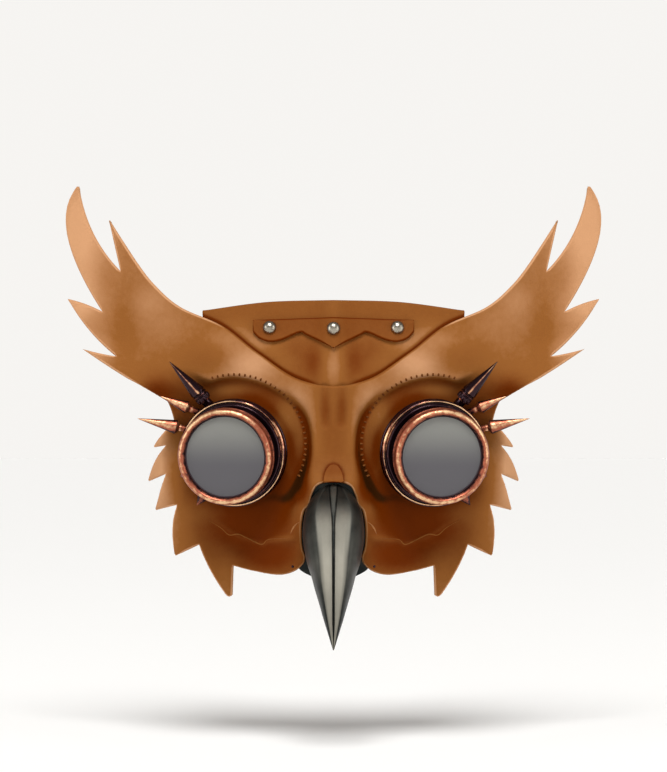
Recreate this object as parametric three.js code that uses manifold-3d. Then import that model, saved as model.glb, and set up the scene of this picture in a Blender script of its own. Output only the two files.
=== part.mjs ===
// Steampunk owl mask: a wet-formed leather face, a forehead panel with a studded tab,
// two spiked eyepieces and a hollow metal beak. Millimetres, +Z up, facing -Y.
// The origin lies on the eye line, in the plane where the mask sits on a face.
// "out" is a distance from the middle plane and "forward" is a distance towards -Y.
import * as THREE from "three";
import { mergeVertices } from "three/addons/utils/BufferGeometryUtils.js";
import Module from "manifold-3d";

const { clamp, degToRad, lerp, smoothstep } = THREE.MathUtils;

// Leather walls, and the clearance between pieces that lie on each other
const seatGap = 0.3;
const faceThickness = 2.8;
const foreheadThickness = 2.4;
const studTabThickness = 2.2;
const noseTabThickness = 1.4;
const beakFlangeThickness = 1.8;

// Main curves of the leather: cheeks below, brow and wings above, blended between two heights
const cheek = { forward: 16, bend: 0.0014, sideOut: 80, sideBend: 0.012, lean: 0.1 };
const jaw = { drop: 60, bend: 0.006 };
const brow = { forward: 25, z: 38, lean: 0.12, bend: 0.0012, blendLow: 8, blendHigh: 42 };
const browBulge = { out: 52, z: 58, width: 30, height: 14, forward: 4 };
const wingValley = { out: 126, width: 20, depth: 5, low: 40, high: 70 };
const foreheadRidge = { width: 7, low: 40, high: 52, forward: 3 };
const foreheadHollow = { out: 15, z: 52, width: 7, height: 12, depth: 2 };
const noseGroove = { out: 5, width: 2.6, low: 12, high: 36, fade: 5, depth: 1.3 };

// Nose and muzzle from the brow down: how far forward the middle stands,
// how wide its crest is to each side and how wide the slope beside the crest is
const noseRows = [
  { z: 38, forward: 28, crest: 13, slope: 30 },
  { z: 20, forward: 27.5, crest: 12, slope: 9 },
  { z: 0, forward: 28.5, crest: 11.5, slope: 8 },
  { z: -10, forward: 31.5, crest: 12.5, slope: 10 },
  { z: -18, forward: 36.5, crest: 12, slope: 17 },
  { z: -30, forward: 35, crest: 14, slope: 22 },
  { z: -45, forward: 31, crest: 17, slope: 30 },
  { z: -60, forward: 26, crest: 17, slope: 38 },
  { z: -76, forward: 21, crest: 17, slope: 40 },
];
const noseFadeZ = 80;

// Eyepieces: the axis leans outwards and down, and the leather is flat around its foot.
// The flat ends in a sharp rim above and beside the nose, and fades out elsewhere.
const eye = { out: 58.5, z: -0.8, forward: 13, yaw: degToRad(11), pitch: degToRad(5) };
const socket = { out: 58.8, z: 3, sharpFlat: 35.5, sharpRim: 6, softFlat: 37, softRim: 29 };
const socketSharp = { from: 45, full: 72, end: 212, gone: 245 };
const eyeHoleRadius = 26.5;
const flangeSeatRadius = 33;
const eyeCutReach = 30;
const roundSides = 30;

// Eyepiece metalwork, measured along the axis from the leather
const sleeve = { bore: 23.5, radius: 25.5, back: -6 };
const flange = { radius: 32, front: 9.3, round: 0.9, stepRadius: 29.5, stepFront: 11.4 };
const barrel = { radius: 26, front: 24 };
const bezel = { radius: 28.5, back: 21, front: 30, opening: 24.3, lip: 2.9, round: 1.6 };
const lens = { radius: 25.9, thickness: 2.2, dome: 0.5, domeRadius: 23.8, midShare: 0.5, midRise: 0.75 };

// Spikes on the flange's rim: the angle is measured from straight out, upwards, the lean is forwards,
// the sweep is along the rim, downwards, and the neck, collar and cone each have a radius and a length
const spikeAxial = 5;
const spikeSides = 8;
const spikeShoulder = 0.2;
const spikeRows = [
  {
    name: "spike_1",
    angle: 62.9,
    lean: 18,
    sweep: 11.2,
    neck: [3, 2.6],
    collar: [4.7, 5.8],
    cone: [4.7, 25.8],
  },
  {
    name: "spike_2",
    angle: 48,
    lean: 16,
    sweep: 22.7,
    neck: [2, 3.9],
    collar: [2.9, 2.2],
    cone: [3.7, 17],
  },
  {
    name: "spike_3",
    angle: 25.6,
    lean: 14,
    sweep: 11.5,
    neck: [2.1, 2.8],
    collar: [3.1, 2],
    cone: [4.2, 23.8],
  },
  {
    name: "short_spike_1",
    angle: -23.7,
    lean: 0,
    sweep: 0,
    neck: [2, 0.4],
    collar: [2.3, 0.4],
    cone: [2.4, 2.8],
  },
  {
    name: "short_spike_2",
    angle: -54,
    lean: 0,
    sweep: 0,
    neck: [2.6, 0.4],
    collar: [3.1, 0.4],
    cone: [3.3, 6],
  },
];

// Beak from its root down to its tip: half width, edge of the front facets,
// and how far forward its ridge and its back lie
const beakRows = [
  { z: -19.4, half: 5, facet: 3.4, ridge: 34, back: 24 },
  { z: -26.3, half: 11.9, facet: 7.2, ridge: 45, back: 21 },
  { z: -34.5, half: 16.3, facet: 9.8, ridge: 54, back: 19 },
  { z: -42, half: 17.7, facet: 9.9, ridge: 60.5, back: 17 },
  { z: -49.8, half: 18, facet: 9.3, ridge: 65, back: 15.5 },
  { z: -59.1, half: 16.9, facet: 8.3, ridge: 69, back: 14 },
  { z: -66.7, half: 15.2, facet: 7.4, ridge: 70.5, back: 15 },
  { z: -72.9, half: 13, facet: 6.6, ridge: 71, back: 18 },
  { z: -80, half: 11, facet: 5.7, ridge: 71, back: 30 },
  { z: -85.7, half: 9.2, facet: 4.9, ridge: 70, back: 37 },
  { z: -98.1, half: 5.5, facet: 3, ridge: 67, back: 49 },
  { z: -110.3, half: 1.75, facet: 1, ridge: 61.5, back: 55.5 },
  { z: -115, half: 0.3, facet: 0.2, ridge: 58.4, back: 57.6 },
];
const beakGroove = { half: 1.3, depth: 0.8 };
const beakFacetFall = 0.4;
const beakFlankShare = 0.5;
const beakWall = { side: 2, front: 2.6, top: -26, bottom: -67, throughBack: 32 };

// Half of the face leather's edge, from the middle of the brow round to the beak.
// Each feather row ends one edge there, and bow is how far that edge swells outwards.
const browLine = [
  [0, 38.3],
  [9, 39],
  [26, 45],
  [46, 59],
  [65.5, 74],
  [90.5, 84.2],
  [107.5, 96.5],
  [118.5, 113.5],
  [135.2, 138.2],
];
const featherRows = [
  { end: "slit between the tufts", out: 128.6, z: 107.5, bow: 0 },
  { end: "tip of the long tuft", out: 154.9, z: 159.8, bow: -4.5 },
  { end: "first wing notch", out: 139.3, z: 83.3, bow: 11.7, peak: 0.4 },
  { end: "upper wing feather", out: 161, z: 91.2, bow: 0.8 },
  { end: "second wing notch", out: 131, z: 56.7, bow: 2.3 },
  { end: "lower wing feather", out: 150.8, z: 60.6, bow: -0.3 },
  { end: "corner below the wing", out: 99.5, z: 28.8, bow: 0.5 },
  { end: "waist beside the eye", out: 95.5, z: 16, bow: -0.5 },
  { end: "first cheek feather", out: 108.5, z: 1.5, bow: 1.6 },
  { end: "first cheek notch", out: 102.3, z: 2.5, bow: 0 },
  { end: "second cheek feather", out: 112, z: -19.3, bow: 2 },
  { end: "second cheek notch", out: 101.8, z: -14.8, bow: 0 },
  { end: "third cheek feather", out: 108.3, z: -37, bow: 0.7 },
  { end: "third cheek notch", out: 95.5, z: -33.6, bow: 0 },
  { end: "fourth cheek feather", out: 96.4, z: -64.6, bow: 2.6 },
  { end: "fourth cheek notch", out: 82, z: -58, bow: 0 },
  { end: "jaw point", out: 62.5, z: -89.5, bow: 1.3 },
  { end: "jaw notch", out: 59.5, z: -69.5, bow: 0 },
];
const lipLobe = [
  [50, -72.2],
  [34, -74.3],
  [23.7, -72],
  [17.7, -67],
  [16.6, -63],
];
const beakOpening = [
  [18.6, -56],
  [19, -43.6],
  [17.7, -35.8],
  [13.1, -26],
  [5.9, -19.3],
  [0, -18.1],
];

// Half outlines of the smaller leather pieces and of the beak's flange
const foreheadLower = [
  [24, 36],
  [46, 51],
  [65, 65],
  [79, 71.5],
];
const forehead = { middleZ: 30, end: 79, endZ: 84, topZ: 90 };
const studTabLower = [
  [16, 69],
  [20, 70.5],
  [31, 66],
  [38, 65],
  [44, 67],
  [48, 71],
];
const studTab = { middleZ: 61, end: 48, endZ: 78, topZ: 79.5 };
const noseTab = { half: 5.8, baseZ: -17.2, topZ: -7.9, topHalf: 4.1, shoulderZ: -12 };
const beakFlangeEdge = [
  [18, -18],
  [25, -32],
  [26, -60],
  [21.5, -71],
  [13, -75.5],
];
const beakFlange = { topZ: -12, bottomZ: -75.5 };

const domeStud = { radius: 4, height: 3.2, sides: 12, levels: [0.3, 0.55, 0.8] };
const domeStudRows = [
  { name: "dome_stud_left", x: -38, z: 73.2 },
  { name: "dome_stud_middle", x: 0, z: 72.6 },
  { name: "dome_stud_right", x: 38, z: 73.2 },
];

// Lines across and up the leather on which its form is worked out, closer beside the nose
const formReach = 166;
const formColumns = 20;
const formNear = 0.45;
const formRows = { top: 164, bottom: -95, count: 30 };
const edgeSteps = 4;

// On steep places a layer's depth is stretched along Y, up to this factor
const mostStretch = 1.8;
const slopeStep = 1;

const weldDistance = 1e-4;
const wasm = await Module();
wasm.setup();

function solidOf(geometry) {
  const bare = geometry.clone();
  bare.deleteAttribute("normal");
  bare.deleteAttribute("uv");
  const merged = mergeVertices(bare, weldDistance);
  const vertProperties = merged.getAttribute("position").array;
  const triVerts = new Uint32Array(merged.index.array);
  return new wasm.Manifold(new wasm.Mesh({ numProp: 3, vertProperties, triVerts }));
}

function geometryOf(solid) {
  const { vertProperties, triVerts } = solid.getMesh();
  const geometry = new THREE.BufferGeometry();
  geometry.setAttribute("position", new THREE.BufferAttribute(vertProperties, 3));
  geometry.setIndex(new THREE.BufferAttribute(triVerts, 1));
  geometry.computeVertexNormals();
  return geometry;
}

const bell = (t) => Math.exp(-t * t);
const past = (value, start) => Math.max(0, value - start);

// Smooth value of one column of a table at a height, through rows listed from the top down.
function along(rows, column, z) {
  const found = rows.findIndex((row, i) => i > 0 && z >= row.z);
  const k = found < 0 ? rows.length - 1 : found;
  const slopeAt = (i) => {
    const above = rows[Math.max(0, i - 1)];
    const below = rows[Math.min(rows.length - 1, i + 1)];
    return (above[column] - below[column]) / (above.z - below.z);
  };
  const step = rows[k].z - rows[k - 1].z;
  const t = clamp((z - rows[k - 1].z) / step, 0, 1);
  const start = rows[k - 1][column] * (1 + 2 * t) * (1 - t) ** 2;
  const end = rows[k][column] * t * t * (3 - 2 * t);
  const leave = slopeAt(k - 1) * step * t * (1 - t) ** 2;
  const arrive = slopeAt(k) * step * t * t * (t - 1);
  return start + end + leave + arrive;
}

function cheekForward(out, z) {
  const side = cheek.bend * out ** 2 + cheek.sideBend * past(out, cheek.sideOut) ** 2;
  const down = cheek.lean * past(-z, 0) + jaw.bend * past(-z, jaw.drop) ** 2;
  return cheek.forward - side - down;
}

function browForward(out, z) {
  const sheet = brow.forward - brow.lean * (z - brow.z) - brow.bend * out ** 2;
  const bulge = bell((out - browBulge.out) / browBulge.width) * bell((z - browBulge.z) / browBulge.height);
  const valley =
    bell((out - wingValley.out) / wingValley.width) *
    smoothstep(z, wingValley.low, wingValley.high);
  const ridge = bell(out / foreheadRidge.width) * smoothstep(z, foreheadRidge.low, foreheadRidge.high);
  const hollow =
    bell((out - foreheadHollow.out) / foreheadHollow.width) *
    bell((z - foreheadHollow.z) / foreheadHollow.height);
  const raised = browBulge.forward * bulge + foreheadRidge.forward * ridge;
  return sheet + raised - wingValley.depth * valley - foreheadHollow.depth * hollow;
}

function withNose(forward, out, z) {
  const crest = along(noseRows, "crest", z);
  const slope = along(noseRows, "slope", z);
  const share = (1 - smoothstep(out, crest, crest + slope)) * (1 - smoothstep(z, noseRows[0].z, noseFadeZ));
  const inGroove =
    smoothstep(z, noseGroove.low, noseGroove.low + noseGroove.fade) *
    (1 - smoothstep(z, noseGroove.high, noseGroove.high + noseGroove.fade));
  const groove = noseGroove.depth * bell((out - noseGroove.out) / noseGroove.width) * inGroove;
  return lerp(forward, along(noseRows, "forward", z), share) - groove;
}

function withSocket(forward, out, z) {
  const across = out - socket.out;
  const up = z - socket.z;
  const turn = (THREE.MathUtils.radToDeg(Math.atan2(up, across)) + 360) % 360;
  const sharp =
    smoothstep(turn, socketSharp.from, socketSharp.full) *
    (1 - smoothstep(turn, socketSharp.end, socketSharp.gone));
  const flat = lerp(socket.softFlat, socket.sharpFlat, sharp);
  const rim = lerp(socket.softRim, socket.sharpRim, sharp);
  const share = 1 - smoothstep(Math.hypot(across, up), flat, flat + rim);
  const seat = eye.forward - Math.tan(eye.yaw) * (out - eye.out) + Math.tan(eye.pitch) * (z - eye.z);
  return lerp(forward, seat, share);
}

// How far forward the front of the face leather stands at a place.
function leatherForward(x, z) {
  const out = Math.abs(x);
  const share = smoothstep(z, brow.blendLow, brow.blendHigh);
  const sheet = lerp(cheekForward(out, z), browForward(out, z), share);
  return withSocket(withNose(sheet, out, z), out, z);
}

function leatherSlope(x, z) {
  return {
    across: (leatherForward(x + slopeStep, z) - leatherForward(x - slopeStep, z)) / (2 * slopeStep),
    up: (leatherForward(x, z + slopeStep) - leatherForward(x, z - slopeStep)) / (2 * slopeStep),
  };
}

// The y of a layer that lies behind the leather's front, its depth measured square to the leather.
function layerY(x, z, behind) {
  const slope = leatherSlope(x, z);
  const stretch = Math.min(mostStretch, Math.hypot(1, slope.across, slope.up));
  return behind * stretch - leatherForward(x, z);
}

function formColumnX(index) {
  const t = index / formColumns - 1;
  const out = formReach * (formNear * Math.abs(t) + (1 - formNear) * t * t);
  return Math.sign(t) * out;
}

function formRowZ(index) {
  return lerp(formRows.bottom, formRows.top, index / formRows.count);
}

// Splits the squares of a slab's front and back along the same diagonals, mirrored from side to side,
// so that sheets at different depths lie evenly on each other.
function matchDiagonals(slab) {
  const index = slab.getIndex();
  const position = slab.getAttribute("position");
  for (let i = 0; i < index.count; i += 6) {
    const [a, b, d, , c] = index.array.slice(i, i + 6);
    const onFront = position.getY(a) + position.getY(c) < 0;
    const onLeft = position.getX(a) + position.getX(c) < 0;
    if (onFront !== onLeft) index.array.set([a, b, c, a, c, d], i);
  }
}

// A sheet as wide as the form: a slab whose points are laid on the form at two depths.
function formedSheet(behind, thickness) {
  const across = 2 * formColumns;
  const slab = new THREE.BoxGeometry(1, 1, 1, across, 1, formRows.count);
  matchDiagonals(slab);
  const position = slab.getAttribute("position");
  for (let i = 0; i < position.count; i++) {
    const x = formColumnX(Math.round((position.getX(i) + 0.5) * across));
    const z = formRowZ(Math.round((position.getZ(i) + 0.5) * formRows.count));
    const depth = position.getY(i) > 0 ? behind + thickness : behind;
    position.setXYZ(i, x, layerY(x, z, depth), z);
  }
  return solidOf(slab);
}

// A block straight through the mask from front to back with a piece's outline.
function outlineBlock(halfPath) {
  const half = halfPath.getPoints(edgeSteps);
  const inner = half.filter((point) => point.x > 0);
  const mirrored = inner.map((point) => new THREE.Vector2(-point.x, point.y)).reverse();
  const shape = new THREE.Shape([...half, ...mirrored]);
  const depth = 2 * formReach;
  const block = new THREE.ExtrudeGeometry(shape, { depth, bevelEnabled: false });
  block.rotateX(Math.PI / 2);
  block.translate(0, depth / 2, 0);
  return solidOf(block);
}

function formedWall(halfPath, behind, thickness) {
  return formedSheet(behind, thickness).intersect(outlineBlock(halfPath));
}

const flatPoints = (pairs) => pairs.map(([out, z]) => new THREE.Vector2(out, z));

// An edge that swells to its left by bow, furthest at the share peak of its length.
function bowedEdge(path, { out, z, bow, peak = 0.5 }) {
  const start = path.currentPoint.clone();
  const run = new THREE.Vector2(out, z).sub(start);
  const left = new THREE.Vector2(-run.y, run.x).normalize();
  const control = start.addScaledVector(run, peak).addScaledVector(left, 2 * bow);
  path.quadraticCurveTo(control.x, control.y, out, z);
}

function faceEdge() {
  const path = new THREE.Path();
  path.moveTo(...browLine[0]);
  path.splineThru(flatPoints(browLine.slice(1)));
  featherRows.forEach((row) => bowedEdge(path, row));
  path.splineThru(flatPoints(lipLobe));
  path.splineThru(flatPoints(beakOpening));
  return path;
}

function foreheadEdge() {
  const path = new THREE.Path();
  path.moveTo(0, forehead.topZ);
  path.quadraticCurveTo(forehead.end / 2, forehead.topZ, forehead.end, forehead.endZ);
  path.lineTo(...foreheadLower.at(-1));
  path.splineThru(flatPoints([...foreheadLower.slice(0, -1).reverse(), [0, forehead.middleZ]]));
  return path;
}

function studTabEdge() {
  const path = new THREE.Path();
  path.moveTo(0, studTab.topZ);
  path.lineTo(studTab.end, studTab.endZ);
  path.lineTo(...studTabLower.at(-1));
  path.splineThru(flatPoints([...studTabLower.slice(0, -1).reverse(), [0, studTab.middleZ]]));
  return path;
}

function noseTabEdge() {
  const path = new THREE.Path();
  path.moveTo(0, noseTab.topZ);
  const { half, baseZ, topZ, topHalf, shoulderZ } = noseTab;
  path.bezierCurveTo(topHalf, topZ, half, shoulderZ, half, baseZ);
  path.lineTo(0, baseZ);
  return path;
}

function beakFlangeHalf() {
  const path = new THREE.Path();
  path.moveTo(0, beakFlange.topZ);
  path.splineThru(flatPoints(beakFlangeEdge));
  path.lineTo(0, beakFlange.bottomZ);
  return path;
}

// A solid lofted through level rings, listed from the top down, each ring counted
// from the front towards +X. A tube's points are laid on the rings.
function loft(rows, ringOf) {
  const rings = rows.map(ringOf);
  const sides = rings[0].length;
  const tube = new THREE.CylinderGeometry(1, 1, 1, sides, rows.length - 1);
  const position = tube.getAttribute("position");
  for (let i = 0; i < position.count; i++) {
    const level = Math.round((0.5 - position.getY(i)) * (rows.length - 1));
    const turn = Math.atan2(position.getX(i), position.getZ(i)) / (2 * Math.PI);
    const side = Math.round((turn + 1) * sides) % sides;
    const onRing = Math.hypot(position.getX(i), position.getZ(i)) > 0.5;
    const middle = { x: 0, y: (rings[level][0].y + rings[level][Math.floor(sides / 2)].y) / 2 };
    const point = onRing ? rings[level][side] : middle;
    position.setXYZ(i, point.x, point.y, rows[level].z);
  }
  return solidOf(tube);
}

// Ring of the beak: a grooved ridge, two front facets, steep sides and a flat back.
function beakRing({ half, facet, ridge, back }) {
  const grooveHalf = Math.min(beakGroove.half, facet / 2);
  const grooveDepth = (beakGroove.depth * grooveHalf) / beakGroove.half;
  const right = [
    { x: grooveHalf, y: -ridge },
    { x: facet, y: beakFacetFall * facet - ridge },
    { x: half, y: -lerp(ridge, back, beakFlankShare) },
    { x: half, y: -back },
  ];
  const left = right.map(({ x, y }) => ({ x: -x, y })).reverse();
  return [{ x: 0, y: grooveDepth - ridge }, ...right, ...left];
}

function beakSolid() {
  const flangeBehind = faceThickness + seatGap;
  const root = formedWall(beakFlangeHalf(), flangeBehind, beakFlangeThickness);
  const hollowRows = beakRows
    .filter(({ z }) => z < beakWall.top && z > beakWall.bottom)
    .map(({ z, half, facet, ridge, back }) => ({
      z,
      half: half - beakWall.side,
      facet: facet - beakWall.side / 2,
      ridge: ridge - beakWall.front,
      back: back - beakWall.throughBack,
    }));
  return loft(beakRows, beakRing).add(root).subtract(loft(hollowRows, beakRing));
}

// Places a thing in an eyepiece's frame: -Y along the eyepiece's axis, Z up, side +1 or -1.
function eyeFrame(side) {
  const frame = new THREE.Group();
  frame.position.set(side * eye.out, -eye.forward, eye.z);
  frame.rotation.set(eye.pitch, 0, side * eye.yaw, "ZYX");
  frame.updateMatrix();
  return frame;
}

// A turned piece from a profile of radius and distance along the axis.
function turned(profile, sides = roundSides) {
  const points = profile.map(([radius, axial]) => new THREE.Vector2(radius, axial));
  return new THREE.LatheGeometry(points, sides).rotateX(Math.PI);
}

function eyeCutter(side) {
  const profile = [
    [0, -eyeCutReach],
    [eyeHoleRadius, -eyeCutReach],
    [eyeHoleRadius, 0],
    [flangeSeatRadius, 0],
    [flangeSeatRadius, eyeCutReach],
    [0, eyeCutReach],
  ];
  return solidOf(turned(profile).applyMatrix4(eyeFrame(side).matrix));
}

function eyeCupGeometry() {
  return turned([
    [sleeve.bore, sleeve.back],
    [sleeve.radius, sleeve.back],
    [sleeve.radius, seatGap],
    [flange.radius - flange.round, seatGap],
    [flange.radius, seatGap + flange.round],
    [flange.radius, flange.front - flange.round],
    [flange.radius - flange.round, flange.front],
    [flange.stepRadius, flange.front],
    [flange.stepRadius, flange.stepFront],
    [barrel.radius, flange.stepFront],
    [barrel.radius, barrel.front],
    [sleeve.bore, barrel.front],
    [sleeve.bore, sleeve.back],
  ]);
}

function bezelGeometry() {
  const bore = barrel.radius + seatGap;
  const lipBack = bezel.front - bezel.lip;
  return turned([
    [bore, bezel.back],
    [bezel.radius, bezel.back],
    [bezel.radius, bezel.front - bezel.round],
    [bezel.radius - bezel.round, bezel.front],
    [bezel.opening + bezel.round, bezel.front],
    [bezel.opening, bezel.front - bezel.round],
    [bezel.opening, lipBack],
    [bore, lipBack],
    [bore, bezel.back],
  ]);
}

function lensGeometry() {
  const back = barrel.front + seatGap;
  const front = back + lens.thickness;
  return turned([
    [0, back],
    [lens.radius, back],
    [lens.radius, front],
    [lens.domeRadius, front],
    [lens.domeRadius * lens.midShare, front + lens.midRise * lens.dome],
    [0, front + lens.dome],
  ]);
}

function spikeGeometry({ neck, collar, cone }) {
  const [neckRadius, neckLength] = neck;
  const [collarRadius, collarLength] = collar;
  const [coneRadius, coneLength] = cone;
  const coneFoot = neckLength + collarLength;
  const profile = [
    [0, 0],
    [neckRadius, 0],
    [neckRadius, neckLength - spikeShoulder],
    [collarRadius, neckLength],
    [collarRadius, coneFoot],
    [coneRadius, coneFoot + spikeShoulder],
    [0, coneFoot + coneLength],
  ];
  const points = profile.map(([radius, axial]) => new THREE.Vector2(radius, axial));
  return new THREE.LatheGeometry(points, spikeSides);
}

// A leaning spike stands off the rim until the edge of its foot clears it.
function placeSpike(mesh, side, { angle, lean, sweep, neck }) {
  const around = degToRad(angle);
  const radial = new THREE.Vector3(side * Math.cos(around), 0, Math.sin(around));
  const alongRim = new THREE.Vector3(side * Math.sin(around), 0, -Math.cos(around));
  const direction = radial.clone().addScaledVector(alongRim, Math.tan(degToRad(sweep)));
  direction.setY(-Math.tan(degToRad(lean))).normalize();
  const standOff = seatGap + neck[0] * Math.sin(radial.angleTo(direction));
  mesh.position.copy(radial).multiplyScalar(flange.radius + standOff);
  mesh.position.y = -spikeAxial;
  mesh.quaternion.setFromUnitVectors(new THREE.Vector3(0, 1, 0), direction);
}

function domeStudGeometry() {
  const { radius, height, sides, levels } = domeStud;
  const points = [new THREE.Vector2(0, 0), new THREE.Vector2(radius, 0)];
  for (const level of levels) {
    const rise = (level * Math.PI) / 2;
    points.push(new THREE.Vector2(radius * Math.cos(rise), height * Math.sin(rise)));
  }
  points.push(new THREE.Vector2(0, height));
  return new THREE.LatheGeometry(points, sides);
}

function placeDomeStud(mesh, { x, z }) {
  const slope = leatherSlope(x, z);
  const front = faceThickness - studTabThickness - seatGap;
  mesh.position.set(x, layerY(x, z, front), z);
  const direction = new THREE.Vector3(-slope.across, -1, -slope.up).normalize();
  mesh.quaternion.setFromUnitVectors(new THREE.Vector3(0, 1, 0), direction);
}

const finishes = {
  leather: { color: 0xa86a3c, roughness: 0.55, metalness: 0 },
  copper: { color: 0xa9683f, roughness: 0.38, metalness: 1 },
  darkCopper: { color: 0x5a3a33, roughness: 0.4, metalness: 1 },
  gunmetal: { color: 0x3d4144, roughness: 0.32, metalness: 0.9 },
  nickel: { color: 0xb7b0a4, roughness: 0.3, metalness: 1 },
  smokedGlass: { color: 0x6f6e6e, roughness: 0.12, metalness: 0 },
};

function piece(name, geometry, finish) {
  const mesh = new THREE.Mesh(geometry, new THREE.MeshStandardMaterial(finishes[finish]));
  mesh.name = name;
  return mesh;
}

function eyepiece(side) {
  const hand = side < 0 ? "left" : "right";
  const frame = eyeFrame(side);
  frame.add(piece(`eye_cup_${hand}`, eyeCupGeometry(), "darkCopper"));
  frame.add(piece(`bezel_${hand}`, bezelGeometry(), "copper"));
  frame.add(piece(`lens_${hand}`, lensGeometry(), "smokedGlass"));
  for (const row of spikeRows) {
    const finish = row.name === "spike_1" ? "darkCopper" : "copper";
    const spike = piece(`${row.name}_${hand}`, spikeGeometry(row), finish);
    placeSpike(spike, side, row);
    frame.add(spike);
  }
  return frame;
}

const mask = new THREE.Group();

const face = formedWall(faceEdge(), 0, faceThickness).subtract(eyeCutter(-1)).subtract(eyeCutter(1));
mask.add(piece("face_leather", geometryOf(face), "leather"));

const foreheadPanel = formedWall(foreheadEdge(), faceThickness + seatGap, foreheadThickness);
mask.add(piece("forehead_leather", geometryOf(foreheadPanel), "leather"));

const tabPanel = formedWall(studTabEdge(), faceThickness - studTabThickness, studTabThickness);
mask.add(piece("stud_tab", geometryOf(tabPanel), "leather"));

const noseTongue = formedWall(noseTabEdge(), -seatGap - noseTabThickness, noseTabThickness);
mask.add(piece("nose_tab", geometryOf(noseTongue), "leather"));

mask.add(piece("beak", geometryOf(beakSolid()), "gunmetal"));

for (const row of domeStudRows) {
  const stud = piece(row.name, domeStudGeometry(), "nickel");
  placeDomeStud(stud, row);
  mask.add(stud);
}

mask.add(eyepiece(-1), eyepiece(1));

export default mask;
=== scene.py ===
"""Steampunk owl mask: a wet-formed leather face, a studded forehead, spiked eyepieces and a metal beak.

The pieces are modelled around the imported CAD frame. The maker's sizes below are in millimetres, with
+Z up and the mask facing -Y. "out" is a distance from the middle plane, "forward" is a distance
towards -Y, and the origin lies on the eye line.
"""
import math

import bmesh
import bpy
import numpy as np
from mathutils import Matrix, Vector


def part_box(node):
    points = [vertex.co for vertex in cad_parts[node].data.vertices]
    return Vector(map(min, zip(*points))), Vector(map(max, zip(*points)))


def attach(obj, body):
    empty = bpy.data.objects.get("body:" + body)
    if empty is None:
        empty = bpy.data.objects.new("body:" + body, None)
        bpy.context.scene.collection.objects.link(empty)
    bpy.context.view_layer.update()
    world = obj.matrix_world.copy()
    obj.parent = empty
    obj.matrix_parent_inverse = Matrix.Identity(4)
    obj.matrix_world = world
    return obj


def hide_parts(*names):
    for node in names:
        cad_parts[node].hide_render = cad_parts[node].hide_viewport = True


bl_info = {
    "name": "Steampunk owl mask",
    "version": (1, 0, 0),
    "blender": (4, 5, 0),
    "location": "View3D > Sidebar > Owl mask",
    "description": "Models the leather, metalwork and glass of an owl mask around its CAD frame",
    "category": "Add Mesh",
}

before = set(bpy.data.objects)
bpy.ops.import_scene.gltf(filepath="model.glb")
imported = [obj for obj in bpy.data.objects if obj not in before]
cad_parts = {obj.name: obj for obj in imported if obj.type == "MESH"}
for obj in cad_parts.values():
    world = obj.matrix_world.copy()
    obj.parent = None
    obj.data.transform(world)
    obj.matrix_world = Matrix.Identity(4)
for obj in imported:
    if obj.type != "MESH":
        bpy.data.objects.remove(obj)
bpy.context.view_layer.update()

MM = 0.001
SIDES = {"left": -1, "right": 1}
# The finishes of a sheet are listed front, edge and back
EDGE = 1
BACK = 2

# Main curves of the leather: cheeks below, brow and wings above, blended between two heights
cheek = {"forward": 16, "bend": 0.0014, "side_out": 80, "side_bend": 0.012, "lean": 0.1}
jaw = {"drop": 60, "bend": 0.006}
brow = {"forward": 25, "z": 38, "lean": 0.12, "bend": 0.0012, "blend": (8, 42)}
wing_valley = {"out": 126, "width": 20, "depth": 5, "fade": (40, 70)}
forehead_ridge = {"width": 7, "fade": (40, 52), "forward": 3}
nose_groove = {"out": 5, "width": 2.6, "starts": (12, 17), "ends": (36, 41), "depth": 1.3}
# A bulge over each eye and a hollow beside the forehead's ridge: out, z, width, height and how far forward
brow_spots = [(52, 58, 30, 14, 4), (15, 52, 7, 12, -2)]
# How far to each side the leather's slope is measured
slope_step = 2.5

# Nose and muzzle from the brow down: height, how far forward the middle stands,
# how wide its crest is to each side and how wide the slope beside the crest is
nose_rows = np.array([
    (38, 28, 13, 30),
    (20, 27.5, 12, 9),
    (0, 28.5, 11.5, 8),
    (-10, 31.5, 12.5, 10),
    (-18, 36.5, 12, 17),
    (-30, 35, 14, 22),
    (-45, 31, 17, 30),
    (-60, 26, 17, 38),
    (-76, 21, 17, 40),
])
nose_columns = {"forward": 1, "crest": 2, "slope": 3}
nose_fade = (38, 80)

# Eyepieces: the axis leans outwards and down, and the leather is flat around its foot.
# The flat ends in a sharp rim above and beside the nose, and fades out elsewhere.
eye = {"out": 58.5, "z": -0.8, "forward": 13, "yaw": math.radians(11), "pitch": math.radians(5)}
socket = {"out": 58.8, "z": 3}
socket_flat = {"soft": 37, "brow": 38.8, "nose": 41}
socket_rim = {"soft": 29, "brow": 2.8, "nose": 5.5}
socket_sharp = {"start": (45, 72), "nose": (110, 165), "end": (212, 245)}
eye_hole = {"radius": 26.5, "points": 72}

# A wavy fold across the lower cheek, as places out and up
cheek_fold = np.array([(21, -51), (30, -52), (38, -53.6), (42, -56), (50, -53.5), (57, -51.2), (74, -40.5)])
cheek_fold_size = {"ridge": 0.9, "width": 1.9, "drop": 0.9, "drop_width": 5, "drop_below": 6}
cheek_fold_reach = {"starts": (20, 26), "ends": (62, 76)}

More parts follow.
